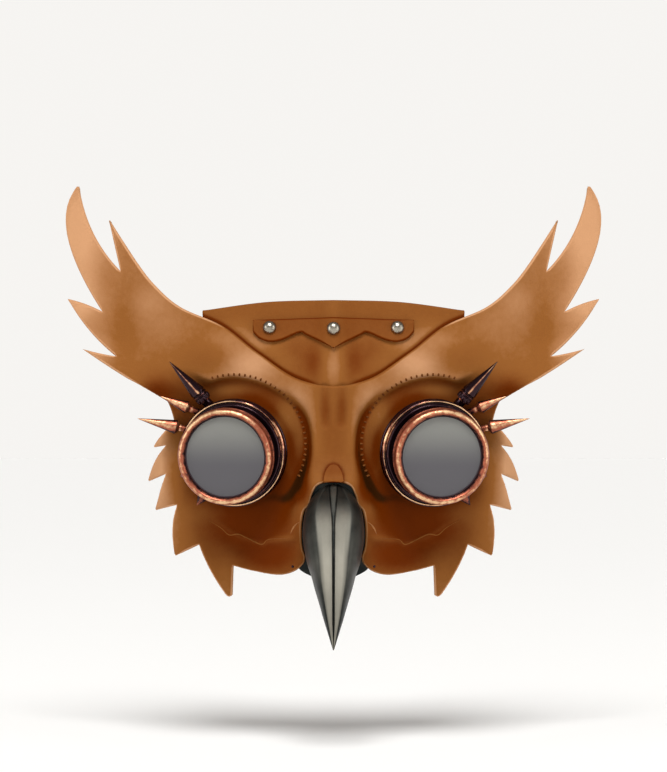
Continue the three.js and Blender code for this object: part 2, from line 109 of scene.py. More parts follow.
# Half of the face leather's edge, from the middle of the brow round to the beak.
# Each feather row ends one edge (out, z) there, and the third value is how far that edge swells,
# furthest at its middle or at the share of its length that a fourth value gives.
brow_line = [
    (0, 38.3), (9, 39), (26, 45), (46, 59), (65.5, 74), (91.5, 85.6), (107, 98.4), (118.5, 112.6),
    (135.4, 138.8),
]
wing_rows = [
    (135.9, 138.4, 0),
    (128.9, 108, 0),
    (154.6, 159.6, -4.5),
    (155.8, 159.4, 0),
    (139.6, 83.5, 12.1, 0.22),
    (161, 91.2, 0.8),
    (131, 56.7, 2.3),
    (151.6, 60.9, -0.3),
    (99.5, 28.8, 0.5),
    (95.5, 16, -0.5),
]
cheek_feather_rows = [
    (108.5, 1.5, 1.6),
    (101, 2.7, 0),
    (112.3, -19.3, 2),
    (101.2, -14.6, 0),
    (108, -36.8, 0.7),
    (94.6, -33.3, 0),
    (95.6, -63.9, 2.6),
    (81, -57, 0),
    (65, -87.6, 1.2),
    (62.9, -88.9, 0.2),
    (60.8, -87.6, 0.2),
    (60, -69.6, 0),
]
lip_lobe = [(60, -69.6), (50, -72.2), (34, -74.3), (23.7, -72), (17.7, -67), (16.6, -63)]
beak_opening = [
    (16.6, -63), (18.6, -57), (19.2, -48), (18.8, -40), (17.4, -34.8), (14.4, -31.6), (13.2, -27),
    (10.4, -21), (5.9, -18.4), (0, -17.8),
]
lip_rivet = {"out": 24.2, "z": -68.6, "segments": 16}
lip_rivet_profile = [(0, -0.4), (0.8, -0.4), (0.8, 0), (0.6, 0.3), (0.3, 0.42), (0, 0.45)]
lip_rivet_worn = [(0, 0.45, 0.3, 0.3)]

# Thin creases as lines of places, each with its width, height and dyed tone, which is paler than the leather
# around it and paints a highlight along the crease.
# Their sides and their foot lie sunk in the leather, and their ends are thin.
crease_sunk = {"side": 0.1, "foot": 0.4}
crease_end = 0.05
crease_rows = {
    "lip": {
        "line": [(19.6, -41.6), (22, -43.2), (24.2, -46), (25.6, -49.6)],
        "width": 1.1,
        "height": 0.4,
        "dye_and_light": 0.3,
    },
    "cheek": {
        "line": [
            (27.7, -51.9), (35.9, -52.4), (39.6, -53.3), (43.2, -56), (51.5, -52.4), (57, -50.1),
            (62.5, -50.6), (68, -46), (80, -39.1),
        ],
        "width": 0.9,
        "height": 0.25,
        "dye_and_light": 0.52,
    },
}

# Half outlines of the smaller leather pieces and of the beak's flange
forehead_top = [(0, 90), (40, 89), (79, 84)]
forehead_lower = [(79, 71.5), (65, 65), (46, 51), (24, 36), (0, 30)]
stud_tab_top = [(0, 79.5), (48, 78)]
stud_tab_lower = [(48, 71), (44, 67), (38, 65), (31, 66), (20, 70.5), (16, 69), (0, 61)]
nose_tab_edge = [(0, -7.9), (2.4, -8.5), (4.3, -11), (5.4, -14), (6, -18.4)]
beak_flange_edge = [(0, -12), (18, -18), (25, -32), (26, -60), (21.5, -71), (13, -75.5)]
beak_flange_hole = [(0, -25), (9, -27.5), (13, -35), (14.5, -47), (13, -60), (10, -66), (0, -67)]

# Each leather layer's front and back, measured behind the front of the face leather
forehead_layer = (3.1, 5.5)
stud_tab_layer = (0.6, 2.8)
nose_tab_layer = (-1.7, -0.3)
beak_flange_layer = (3.1, 4.9)
stud_behind = 0.3

# A cut edge is rounded in two steps, and less towards the tips of feathers,
# where the outline turns by more than this bend in radians
rounding_shares = (0.4, 1)
feather_tip = {"bend": 0.9, "reach": 8, "least": 0.05}

# Antique dyeing with painted light and shade, darker or lighter in soft spots: out, z, width, height and
# amount.
# The spots paint shade under the brows and wings, in the eye sockets, beside the nose and below the
# eyepieces, and a highlight on each brow. The free edges are rubbed pale and painted with a highlight,
# and painted shade lies along seams and on the edges of the small tabs.
face_dye = 0.4
face_dye_and_light_spots = [
    (46, -50, 44, 24, 0.46),
    (24, -44, 7, 9, 0.08),
    (36, -65, 18, 9, 0.2),
    (66, -38, 14, 8, -0.1),
    (78, -38, 12, 8, -0.2),
    (94, 3, 6, 14, -0.22),
    (22, -26, 8, 6, 0.15),
    (18, -16, 6, 10, 0.28),
    (0, 12, 12, 30, 0.2),
    (20, -22, 6, 9, 0.3),
    (12, -6, 4, 8, 0.12),
    (25.5, -14, 3.5, 8, -0.3),
    (19.5, -21, 4, 5, 0.3),
    (31, -28.5, 9, 3, 0.4),
    (19.5, 7, 4, 16, -0.2),
    (27.5, 20, 7, 10, -0.42),
    (15, 14, 5, 16, -0.1),
    (22, 32, 8, 8, -0.15),
    (62, 36, 12, 4, -0.35),
    (104, 12, 6, 8, -0.2),
    (38, -63, 12, 7, 0.16),
    (107, 34, 11, 11, 0.65),
    (130, 90, 34, 40, -0.1),
    (127, 78, 9, 34, 0.1),
    (139, 104, 8, 22, 0.12),
    (95, 76, 16, 14, -0.06),
    (110, 90, 10, 9, -0.1),
    (62, 66, 12, 6, -0.1),
    (76, 55, 16, 9, 0.12),
    (150, 132, 20, 38, -0.35),
    (157, 140, 9, 30, -0.12),
    (158, 88, 18, 14, -0.3),
    (146, 60, 14, 9, -0.25),
    (109, -6, 8, 27, -0.75),
    (98, -26, 14, 42, -0.27),
    (64, -76, 8, 12, -0.1),
    (48, 51, 15, 9, -0.38),
    (5.2, 26, 3, 10, 0.18),
]
# Painted shade in the eye sockets, round the nose side of each cup's foot, in the crease beside the nose and
# along the nose tab's seam
socket_shade = 0.38
cup_shadow = {"radius": 33.5, "width": 2.6, "amount": 0.25, "fade": (-14, 14)}
socket_crease_shadow = {"radius": 44, "width": 2.2, "amount": 0.75, "start": (125, 160), "end": (212, 235)}
# A painted highlight along the crest of the cheek fold
fold_highlight = -0.12
nose_seam_shade = {"width": 1.1, "amount": 0.45}
forehead_dye = 0.55
# Painted shade in the hollows beside the forehead's ridge, and painted highlights on the ridge and towards
# the panel's ends
forehead_dye_and_light_spots = [
    (11.5, 53, 5, 10, 0.2),
    (18, 52, 8, 9, 0.1),
    (0, 50, 6, 14, -0.28),
    (46, 64, 14, 9, -0.25),
    (58, 72, 10, 6, -0.15),
    (28, 52, 8, 6, -0.1),
    (24, 61, 7, 7, 0.1),
]
# Painted shadow on the forehead along the face leather's edge, fading out in the middle
brow_seam_shadow = {"width": 1.5, "amount": 0.8, "fade": (6, 20)}
tab_dye = 0.66
tab_edge_reach = (0, 0.6)
# Antique colour gathered with painted shade where the leather around a place stands forward of it
hollow_dye_and_shade = {"reach": (4, 9), "turns": 8, "limits": (-1.5, 2.5), "amount": 0.06}
# Free edges rubbed pale with a painted highlight, their outermost rim kept darker as painted shade
free_edge_wear_and_light = {"amount": -0.5, "reach": (0, 0.5), "rim": (0.7, 1), "rim_loss": 0.7}
# Painted shade on the face leather's edge over the forehead and on the edges of the small tabs
seam_edge_shade = 0.4
brow_seam = {"out": (58, 76), "z": (20, 34)}
# Spacing of the points along a seam
seam_step = 0.6

# Stitched rim of the eye socket: turns from straight out, upwards, in degrees.
# The thread is painted dark as shade over the top and paler towards the nose, as lit, fading between two
# turns.
stitch_arc = {"radius": 42.2, "turns": (72, 205), "shaded_until": (150, 180)}
stitch_thread = {"radius": 0.65, "sunk": 0.1, "segments": 8, "rings": 5}

# Eyepiece metalwork as profiles of radius and distance along the axis from the leather
eye_cup_profile = [
    (23.5, -6), (25.5, -6), (25.5, 0.3), (31.2, 0.3), (32, 1.1), (32, 2.6), (31.5, 3), (31.5, 6.6), (32, 7),
    (32, 8.6), (31.3, 9.3), (30.6, 9.3), (30.2, 8.7), (29.6, 8.7), (29.5, 11), (29.1, 11.4), (27.4, 11.4),
    (26.6, 10.6), (26, 10.6), (26, 17), (25.6, 17.4), (25.6, 19), (26, 19.4), (26, 24), (23.5, 24),
]
bezel_profile = [
    (26.3, 21), (28.1, 21), (28.5, 21.4), (28.5, 22.8), (27.9, 23.2), (27.9, 24), (28.5, 24.4),
    (28.5, 26.9), (28.3, 28.2), (27.6, 29.3), (26.6, 29.9), (25.8, 30), (25.1, 29.6), (24.6, 28.9),
    (24.3, 28), (24.3, 27.1), (26.3, 27.1),
]
lens_profile = [(0, 24.3), (25.9, 24.3), (25.9, 26.4), (23.8, 26.55), (20, 26.7), (12, 26.9), (0, 27)]
gasket_profile = [(23.5, 26.45), (24.25, 26.45), (24.25, 27.2), (23.9, 27.4), (23.5, 27.1)]

# Rubbed places on the rings: radius, distance along the axis, reach and amount.
# The bright line round the front of the cup's flange is a painted highlight as well as rubbing. The rubbing
# is swung brightest at the upper outside and the lower inside as a painted highlight, and red copper
# shows on the cup towards the nose, painted as a glint.
cup_worn_and_lit = [(30.95, 9.3, 0.5, 1.15), (32, 1, 0.7, 0.4), (29.3, 11.3, 0.6, 0.3)]
bezel_worn = [(27.1, 30, 1.7, 1.05), (28.5, 26.8, 1.2, 0.5), (28.5, 22, 0.8, 0.6), (28.5, 24.6, 0.5, 0.6)]
ring_rub_and_highlight = {"turn": math.radians(63), "mean": 0.9, "swing": 0.2}
cup_red_glint = {"turn": math.radians(160), "width": 0.4, "reach": 2.4, "amount": 0.85}
cup_red_glint_place = {"radius": 30.8, "height": 8.8}

# Spikes on the flange's rim: name, angle from straight out, upwards, lean forwards, sweep along the rim,
# downwards, and the radius and length of the neck, collar and cone
spike_rows = [
    ("spike_1", 62.9, 18, 11.2, (3, 2.6), (4.7, 5.8), (4.7, 25.8)),
    ("spike_2", 48, 16, 22.7, (2, 3.9), (2.9, 2.2), (3.7, 17)),
    ("spike_3", 25.6, 14, 11.5, (2.1, 2.8), (3.1, 2), (4.2, 23.8)),
    ("short_spike_1", -23.7, 0, 0, (2, 0.4), (2.3, 0.4), (2.4, 2.8)),
    ("short_spike_2", -54, 0, 0, (2.6, 0.4), (3.1, 0.4), (3.3, 6)),
]
# They stand on the rim, this far along the axis. The neck of a spike with a long cone reaches back
# into the rim, and the collar of the dark spike is fluted up to a share of its length.
spike_axial = 5
flange_radius = 32
seat_gap = 0.3
neck_root = 2
dark_spike = "spike_1"
long_cone = 10
flutes = {"depth": 0.1, "end": 0.57}

# Profiles of the spikes: which radius, its share, along which length, and the share of that length.
# The foot is the neck and collar together.
collared_spike = [
    ("neck", 1, "neck", 0.8),
    ("collar", 0.92, "collar", 0),
    ("collar", 1, "collar", 0.1),
    ("collar", 1, "collar", 0.54),
    ("collar", 0.84, "collar", 0.6),
    ("collar", 0.84, "collar", 0.68),
    ("collar", 1, "collar", 0.73),
    ("collar", 1, "collar", 0.83),
    ("collar", 0.84, "collar", 0.9),
    ("collar", 0.84, "collar", 0.96),
    ("cone", 0.93, "cone", 0),
    ("cone", 1, "cone", 0.02),
    ("cone", 0.96, "cone", 0.06),
    ("cone", 0.06, "cone", 0.97),
    ("cone", 0, "cone", 1),
]
shouldered_spike = [
    ("neck", 0.9, "foot", 0.25),
    ("neck", 1, "foot", 0.5),
    ("neck", 0.85, "foot", 0.66),
    ("cone", 0.7, "foot", 0.8),
    ("cone", 0.96, "foot", 1),
    ("cone", 1, "cone", 0.02),
    ("cone", 0.97, "cone", 0.05),
    ("cone", 0.06, "cone", 0.97),
    ("cone", 0, "cone", 1),
]

# Rubbed places on the spikes, at shares of their lengths. Each cone is kept bright on its front as a painted
# highlight, with painted shade down its sides, and the dark cone gets one painted highlight line down its
# front.
cone_worn = {"places": (0.3, 0.65, 1), "radius": 0.5, "reach": 0.4, "amount": 1.15}
neck_worn = {"place": 0.5, "reach": 0.8, "amount": 0.8}
collar_worn = [(0, 0.7, 0.6), (0.78, 0.5, 0.5)]
spike_highlight_line = {"width": 0.2, "amount": 0.85}
spike_lit_width = 1.15
spike_side_shade = -0.8

stud_rows = {"left": (-38, 73.2), "middle": (0, 72.6), "right": (38, 73.2)}
stud_profile = [(0, 0), (4, 0), (4, 0.5), (3.7, 1.3), (3.1, 2.1), (2.2, 2.75), (1.1, 3.1), (0, 3.2)]

# Beak from its root down to its tip: height, half width, edge of the front facets,
# and how far forward its ridge and its back lie
beak_rows = np.array([
    (-19.4, 5, 3.4, 34, 24),
    (-26.3, 11.9, 7.2, 45, 21),
    (-34.5, 16.3, 9.8, 54, 19),
    (-42, 17.7, 9.4, 60.5, 17),
    (-49.8, 18, 8.6, 65, 15.5),
    (-59.1, 16.9, 7.7, 69, 14),
    (-66.7, 15.2, 7.1, 70.5, 15),
    (-72.9, 13, 6.6, 71, 18),
    (-80, 11, 5.7, 71, 30),
    (-85.7, 9.2, 4.9, 70, 37),
    (-98.1, 5.5, 3, 67, 49),
    (-110.3, 1.75, 1, 61.5, 55.5),
    (-115, 0.3, 0.2, 58.4, 57.6),
])
beak_columns = {"half": 1, "facet": 2, "ridge": 3, "back": 4}
# A keel runs down the ridge between two grooves, with a flat facet beside each groove.
# The bright values are how far each line down the beak is polished; they also paint shade in the grooves and
# near the root, and fade darker towards the tip.
beak_keel = {"top": 1.7, "low": 0.12, "crown": 0.6, "narrows": (20, 44), "full_facet": 3}
beak_groove = {"top": 1.1, "low": 0.75, "narrows": (46, 90), "depth": 1.1}
beak_flank_bright = {"root": 0.12, "tip": 0.02, "fade": (66, 92)}
beak_facet = {"fall": 0.4, "lip": 0.1, "shares": np.array([0, 0.35, 0.7, 1])}
beak_flank_share = 0.5
beak_wall = {"thickness": 2.0, "share": 0.4}
beak_hollow = {"top": -24, "bottom": -68, "depth": 0.6, "facing": 0.5}
beak_points = {"flank": 12, "side": 5, "back": 5}
beak_ring_step = 1.5
beak_polish_and_shade = {"at_top": 0.06, "from_top": (26, 42), "at_tip": 0.75, "to_tip": (60, 110)}
keel_polish_and_shade = np.array([0.3, 0.3, 0.2, 0])
facet_bright = np.array([0.85, 1, 1, 0.6])

# Edges sharper than these angles, in degrees, are shaded as edges.
# The last is for turned pieces, whose edges are eased by so much.
leather_sharp = 60
crease_sharp = 80
beak_sharp = 34
metal_sharp = 35
eased_sharp = 28
eased = {"cup": 0.15, "bezel": 0.12, "lens": 0.15, "gasket": 0.1, "stud": 0.15, "spike": 0.12, "rivet": 0.05}

# Points this close are one point, and edges that stray less than this run along the mesh lines
same_point = 1e-4
same_line = 1e-3

# Stage, in metres
floor_size = 14.0
photo_height_px = 772
mm_per_px = 0.6
picture_middle_z = 0.0384
walls = {"colour": "fffdfa", "low": 0.15, "high": 0.35, "low_light": 0.925, "high_light": 0.22}
top_light = {"energy": 2.7, "angle": math.radians(28), "tilt": math.radians(35)}
side_light = {"energy": 9, "width": 0.6, "height": 1.5, "place": (1.7, -0.9, 0.45), "aim": (0, 0, 0.03)}
view_end = 50


def linear(code):
    """An sRGB hex colour as linear red, green, blue and alpha."""
    parts = [int(code[i:i + 2], 16) / 255 for i in (0, 2, 4)]
    return tuple(c / 12.92 if c <= 0.04045 else ((c + 0.055) / 1.055) ** 2.4 for c in parts) + (1.0,)


def length_prop(name, description, default_mm):
    return bpy.props.FloatProperty(
        name=name, description=description, default=default_mm * MM, min=0, precision=5, unit="LENGTH"
    )


def colour_prop(name, description, code):
    return bpy.props.FloatVectorProperty(
        name=name, description=description, default=linear(code), size=4, min=0, max=1, subtype="COLOR"
    )


class OwlMaskSizes(bpy.types.PropertyGroup):
    """Sizes of the mask that a maker would change."""

    face_thickness: length_prop("Face thickness", "Thickness of the face leather", 2.8)
    edge_round: length_prop("Edge round", "Radius of the burnished cut edges", 1.4)
    mesh_step: length_prop("Mesh step", "Spacing of the mesh lines on the face leather", 1.3)
    fine_step: length_prop("Fine step", "Spacing of the mesh lines on the small leather pieces", 0.8)
    stitch_spacing: length_prop("Stitch spacing", "Distance between stitches on the socket's rim", 3.2)
    stitch_length: length_prop("Stitch length", "Length of one stitch across the rim", 2)
    turned_segments: bpy.props.IntProperty(
        name="Turned segments", description="Steps round each turned metal piece", default=96, min=24, max=256
    )
    collar_flutes: bpy.props.IntProperty(
        name="Collar flutes", description="Flutes round the long spike's collar", default=12, min=6, max=24
    )
    camera_distance: length_prop("Camera distance", "From the camera to the middle of the mask", 1800)
    floor_drop: length_prop("Floor drop", "From the beak's tip down to the floor", 60)


class OwlMaskColours(bpy.types.PropertyGroup):
    """Colours of the mask's finishes."""

    # Pale leather also shows painted highlights, dark leather painted shade, and the darkest leather painted
    # shadow in creases
    leather_pale: colour_prop("Pale leather", "Leather where the dye is rubbed off", "bd8c65")
    leather_tan: colour_prop("Tan leather", "Main colour of the leather", "865326")
    leather_dark: colour_prop("Dark leather", "Leather where the dye gathers in hollows", "5f2500")
    leather_painted_shadow: colour_prop("Deep leather", "Leather where the dye pools in a crease", "331905")
    leather_edge: colour_prop("Cut edge", "Raw cut edge of the leather", "c79670")
    leather_flesh: colour_prop("Flesh side", "Undyed inside of the leather", "a98563")
    copper_gold: colour_prop("Golden copper", "Copper rubbed bright", "e6bd90")
    copper_red: colour_prop("Red copper", "Copper plate", "a35a42")
    patina: colour_prop("Patina", "Dark patina on the copper", "2a151c")
    gunmetal_light: colour_prop("Light gunmetal", "Polished facets of the beak", "9b978b")
    gunmetal_dark: colour_prop("Dark gunmetal", "Blued sides of the beak", "1e2120")
    nickel: colour_prop("Nickel", "Plate on the studs", "a39c8e")
    glass_top: colour_prop("Upper glass", "Smoked glass at the top of a lens", "757570")
    glass_bottom: colour_prop("Lower glass", "Smoked glass at the bottom of a lens", "4a484c")
    thread: colour_prop("Thread", "Waxed thread of the socket stitches", "5f3210")
    floor: colour_prop("Floor", "Studio floor", "fbfaf8")


def bell(t):
    return np.exp(-t * t)


def past(value, start):
    return np.maximum(0, value - start)


def smoothstep(value, low, high):
    t = np.clip((value - low) / (high - low), 0, 1)
    return t * t * (3 - 2 * t)


def lerp(a, b, t):
    return a + (b - a) * t


def between(value, starts, ends):
    """1 between two places, rising over the first range and falling over the second."""
    return smoothstep(value, *starts) * (1 - smoothstep(value, *ends))


def hermite(start, end, leave, arrive, t):
    """A smooth step from a start to an end, with the slopes at which it leaves and arrives."""
    ends = start * (1 + 2 * t) * (1 - t) ** 2 + end * t * t * (3 - 2 * t)
    return ends + leave * t * (1 - t) ** 2 + arrive * t * t * (t - 1)


def soft_spots(out, z, spots):
    """The sum of soft oval spots: out, z, width, height and amount."""
    return sum(a * bell((out - o) / w) * bell((z - h) / tall) for o, h, w, tall, a in spots)


def along(rows, column, z):
    """Smooth value of a table's column at heights, through rows listed from the top down."""
    heights = rows[::-1, 0]
    values = rows[::-1, column]
    reach = np.pad(heights, 1, mode="edge")
    spread = np.pad(values, 1, mode="edge")
    slopes = (spread[2:] - spread[:-2]) / (reach[2:] - reach[:-2])
    k = np.clip(np.searchsorted(heights, z, side="right") - 1, 0, len(heights) - 2)
    step = heights[k + 1] - heights[k]
    t = np.clip((z - heights[k]) / step, 0, 1)
    return hermite(values[k], values[k + 1], slopes[k] * step, slopes[k + 1] * step, t)


def cheek_forward(out, z):
    side = cheek["bend"] * out**2 + cheek["side_bend"] * past(out, cheek["side_out"]) ** 2
    down = cheek["lean"] * past(-z, 0) + jaw["bend"] * past(-z, jaw["drop"]) ** 2
    return cheek["forward"] - side - down


def brow_forward(out, z):
    sheet = brow["forward"] - brow["lean"] * (z - brow["z"]) - brow["bend"] * out**2
    valley = bell((out - wing_valley["out"]) / wing_valley["width"]) * smoothstep(z, *wing_valley["fade"])
    ridge = bell(out / forehead_ridge["width"]) * smoothstep(z, *forehead_ridge["fade"])
    raised = forehead_ridge["forward"] * ridge - wing_valley["depth"] * valley
    return sheet + raised + soft_spots(out, z, brow_spots)


def with_nose(forward, out, z):
    nose, crest, slope = (along(nose_rows, column, z) for column in nose_columns.values())
    share = (1 - smoothstep(out, crest, crest + slope)) * (1 - smoothstep(z, *nose_fade))
    groove = bell((out - nose_groove["out"]) / nose_groove["width"])
    groove = groove * between(z, nose_groove["starts"], nose_groove["ends"])
    return lerp(forward, nose, share) - nose_groove["depth"] * groove


def round_socket(out, z):
    """Distance from the middle of the eye socket, and the turn from straight out, upwards, in degrees."""
    across = out - socket["out"]
    up = z - socket["z"]
    return np.hypot(across, up), np.degrees(np.arctan2(up, across)) % 360


def socket_share(out, z):
    """1 on the flat round the eyepiece, 0 outside the socket."""
    radius, turn = round_socket(out, z)
    sharp = between(turn, socket_sharp["start"], socket_sharp["end"])
    by_nose = smoothstep(turn, *socket_sharp["nose"])
    flat = lerp(socket_flat["soft"], lerp(socket_flat["brow"], socket_flat["nose"], by_nose), sharp)
    rim = lerp(socket_rim["soft"], lerp(socket_rim["brow"], socket_rim["nose"], by_nose), sharp)
    return 1 - smoothstep(radius, flat, flat + rim)


def fold_lines(out, z):
    """Where the fold across the cheek rises and where it drops below itself, from 0 to 1."""
    below = np.interp(out, cheek_fold[:, 0], cheek_fold[:, 1]) - z
    reach = between(out, cheek_fold_reach["starts"], cheek_fold_reach["ends"])
    ridge = bell(below / cheek_fold_size["width"])
    drop = bell((below - cheek_fold_size["drop_below"]) / cheek_fold_size["drop_width"])
    return reach * ridge, reach * drop


def cheek_folds(out, z):
    ridge, drop = fold_lines(out, z)
    return cheek_fold_size["ridge"] * ridge - cheek_fold_size["drop"] * drop


def leather_forward(x, z):
    """How far forward the front of the face leather stands."""
    out = np.abs(x)
    sheet = lerp(cheek_forward(out, z), brow_forward(out, z), smoothstep(z, *brow["blend"]))
    tilt = math.tan(eye["pitch"]) * (z - eye["z"]) - math.tan(eye["yaw"]) * (out - eye["out"])
    seat = eye["forward"] + tilt
    return lerp(with_nose(sheet, out, z) + cheek_folds(out, z), seat, socket_share(out, z))


def leather_slope(x, z):
    across = leather_forward(x + slope_step, z) - leather_forward(x - slope_step, z)
    up = leather_forward(x, z + slope_step) - leather_forward(x, z - slope_step)
    return across / (2 * slope_step), up / (2 * slope_step)


def behind_leather(x, z, depth):
    """Points at a depth behind the leather's front, measured square to it."""
    across, up = leather_slope(x, z)
    stretch = depth / np.sqrt(1 + across**2 + up**2)
    return np.column_stack([x + across * stretch, stretch - leather_forward(x, z), z + up * stretch])


def leather_hollow(x, z):
    """How much the leather around a place stands forward of it."""
    around = []
    for reach in hollow_dye_and_shade["reach"]:
        places = ellipse((0, 0), reach, reach, hollow_dye_and_shade["turns"])
        around += [leather_forward(x + across, z + up) for across, up in places]
    return np.mean(around, axis=0) - leather_forward(x, z)


def edge_share(start, end, step):
    """Shares of an edge's length at which it gets a point, without its start."""
    count = max(2, math.ceil(math.dist(start, end) / step))
    return np.linspace(0, 1, count + 1)[1:, None]


def bowed_edges(start, rows, step):
    """Edges from one place to the next, each swelling to its left, furthest at a share of its length."""
    points = []
    for out, z, bow, *peak in rows:
        run = np.subtract((out, z), start)
        left = np.array((-run[1], run[0])) / np.hypot(*run)
        control = start + run * (peak[0] if peak else 0.5) + left * 2 * bow
        t = edge_share(start, (out, z), step)
        points.append((1 - t) ** 2 * np.array(start) + 2 * t * (1 - t) * control + t * t * np.array((out, z)))
        start = (out, z)
    return np.vstack(points)


def spline(places, step):
    """A smooth curve through places, without its first point."""
    places = np.array(places, dtype=float)
    padded = np.vstack([places[:1], places, places[-1:]])
    points = []
    for before, start, end, after in zip(padded, padded[1:], padded[2:], padded[3:]):
        t = edge_share(start, end, step)
        points.append(hermite(start, end, (end - before) / 2, (after - start) / 2, t))
    return np.vstack(points)


def full_outline(lines, step):
    """A closed outline from the lines of its half, which starts on the middle plane.

    A line is a smooth curve through places, one straight edge, or rows of bowed edges.
    Straight edges join it to the line before it and, at the end, to the middle plane.
    """
    parts = [np.array(lines[0][:1], dtype=float)]
    for line in lines:
        start = tuple(parts[-1][-1])
        bowed = len(line[0]) > 2
        if not bowed and start != tuple(line[0]):
            parts.append(bowed_edges(start, [(*line[0], 0)], step))
        if bowed:
            parts.append(bowed_edges(start, line, step))
        elif len(line) == 2:
            parts.append(bowed_edges(line[0], [(*line[1], 0)], step))
        else:
            parts.append(spline(line, step))
    out, z = parts[-1][-1]
    if out > 0:
        parts.append(bowed_edges((out, z), [(0, z, 0)], step))
    half = np.vstack(parts)
    return np.vstack([half, half[1:-1][::-1] * (-1, 1)])


def ellipse(centre, width, height, count):
    turns = np.linspace(0, 2 * math.pi, count, endpoint=False)
    return np.column_stack([centre[0] + width * np.cos(turns), centre[1] + height * np.sin(turns)])


def moved_in(outline, distance):
    """An outline moved inwards, less and less towards the tips of feathers."""
    before = outline - np.roll(outline, 1, axis=0)
    after = np.roll(before, -1, axis=0)
    before = before / np.linalg.norm(before, axis=1, keepdims=True)
    length = np.linalg.norm(after, axis=1)
    after = after / length[:, None]
    inward = np.column_stack([before[:, 1] + after[:, 1], -before[:, 0] - after[:, 0]])
    inward /= np.linalg.norm(inward, axis=1, keepdims=True)
    turning = before[:, 0] * after[:, 1] - before[:, 1] * after[:, 0]
    bend = np.arctan2(turning, np.sum(before * after, axis=1))
    tips = np.flatnonzero(bend < -feather_tip["bend"])
    place = np.concatenate([[0], np.cumsum(length)[:-1]])
    share = np.ones(len(outline))
    if len(tips):
        apart = np.abs(place[:, None] - place[tips])
        apart = np.minimum(apart, length.sum() - apart)
        share = np.clip(apart.min(axis=1) / feather_tip["reach"], feather_tip["least"], 1)
        share[tips] = 1
    return outline + inward * (distance * share)[:, None]


def level(points):
    """An outline's points in the plane of the sheet."""
    return [(x, 0, z) for x, z in points]


def add_loop(bm, places):
    """A closed loop of edges, whose vertices keep their order."""
    order = bm.verts.layers.int.get("order") or bm.verts.layers.int.new("order")
    verts = [bm.verts.new(place) for place in places]
    for i, vert in enumerate(verts):
        vert[order] = i
    return verts, [bm.edges.new(pair) for pair in zip(verts, verts[1:] + verts[:1])]


def verts_of(geom):
    return {item for item in geom if isinstance(item, bmesh.types.BMVert)}


def extruded_loop(bm, edges):
    """The vertices and edges of a loop extruded from another."""
    verts = verts_of(bmesh.ops.extrude_edge_only(bm, edges=edges)["geom"])
    return verts, list({edge for vert in verts for edge in vert.link_edges if verts.issuperset(edge.verts)})


def cut_sheet(bm, outline, holes, edge_round, step):
    """A flat sheet of even squares cut to an outline, with two rings along its edge for the rounding."""
    inset = bm.verts.layers.float.new("inset")
    _, edges = add_loop(bm, level(outline))
    order = bm.verts.layers.int["order"]
    for share in rounding_shares:
        ring = level(moved_in(outline, edge_round * share))
        verts, edges = extruded_loop(bm, edges)
        for vert in verts:
            vert.co = ring[vert[order]]
            vert[inset] = edge_round * share
    for hole in holes:
        hole_verts, hole_edges = add_loop(bm, level(hole))
        for vert in hole_verts:
            vert[inset] = edge_round
        edges += hole_edges
    for edge in edges:
        edge.seam = True
    bmesh.ops.triangle_fill(bm, use_beauty=True, edges=edges)
    low = outline.min(axis=0)
    high = outline.max(axis=0)
    for axis, normal in ((0, (1, 0, 0)), (1, (0, 0, 1))):
        count = math.ceil(max(abs(low[axis]), abs(high[axis])) / step)
        for place in (np.arange(-count, count) + 0.5) * step:
            if low[axis] < place < high[axis]:
                geom = bm.verts[:] + bm.edges[:] + bm.faces[:]
                on_line = Vector(normal) * place
                bmesh.ops.bisect_plane(bm, geom=geom, dist=same_point, plane_co=on_line, plane_no=normal)
    diagonals = []
    for edge in bm.edges:
        run = edge.verts[1].co - edge.verts[0].co
        inside = min(vert[inset] for vert in edge.verts) > edge_round - same_point
        slanted = min(abs(run.x), abs(run.z)) > same_line
        if inside and slanted and edge.is_manifold and not edge.seam:
            diagonals.append(edge)
    bmesh.ops.dissolve_edges(bm, edges=diagonals, use_verts=True)


def near_line(out, z, line, width):
    """1 on a line of places, falling off over a width."""
    apart = np.min([np.hypot(out - o, z - h) for o, h in line], axis=0)
    return bell(apart / width)


def face_shade(out, z, edge):
    """How dark the face leather is coloured, with its antique colour, painted shade and painted highlights,
    also towards its edge, where edge is 1.
    """
    ridge, _ = fold_lines(out, z)
    over_seam = (1 - smoothstep(out, *brow_seam["out"])) * smoothstep(z, *brow_seam["z"])
    # Free edges rubbed pale with a painted highlight; the outermost rim keeps less of it, as painted shade
    kept = 1 - free_edge_wear_and_light["rim_loss"] * smoothstep(edge, *free_edge_wear_and_light["rim"])
    rubbed = free_edge_wear_and_light["amount"] * smoothstep(edge, *free_edge_wear_and_light["reach"]) * kept
    # Where the edge lies over the forehead it gets painted shade instead
    at_edge = lerp(rubbed, seam_edge_shade * edge * smoothstep(out, *brow_seam_shadow["fade"]), over_seam)
    # Painted shade in the socket, in its crease by the nose, round the cup's foot and along the nose tab's
    # seam
    radius, turn = round_socket(out, z)
    by_nose = between(turn, socket_crease_shadow["start"], socket_crease_shadow["end"])
    crease_shadow = by_nose * bell((radius - socket_crease_shadow["radius"]) / socket_crease_shadow["width"])
    from_cup = np.hypot(out - eye["out"], z - eye["z"]) - cup_shadow["radius"]
    cup_shadow_ring = bell(from_cup / cup_shadow["width"]) * smoothstep(eye["out"] - out, *cup_shadow["fade"])
    seam = near_line(out, z, spline(nose_tab_edge, seam_step), nose_seam_shade["width"])
    painted_shade = (
        socket_shade * socket_share(out, z)
        + socket_crease_shadow["amount"] * crease_shadow
        + cup_shadow["amount"] * cup_shadow_ring
        + nose_seam_shade["amount"] * seam
    )
    return face_dye + soft_spots(out, z, face_dye_and_light_spots) + painted_shade + fold_highlight * ridge + at_edge


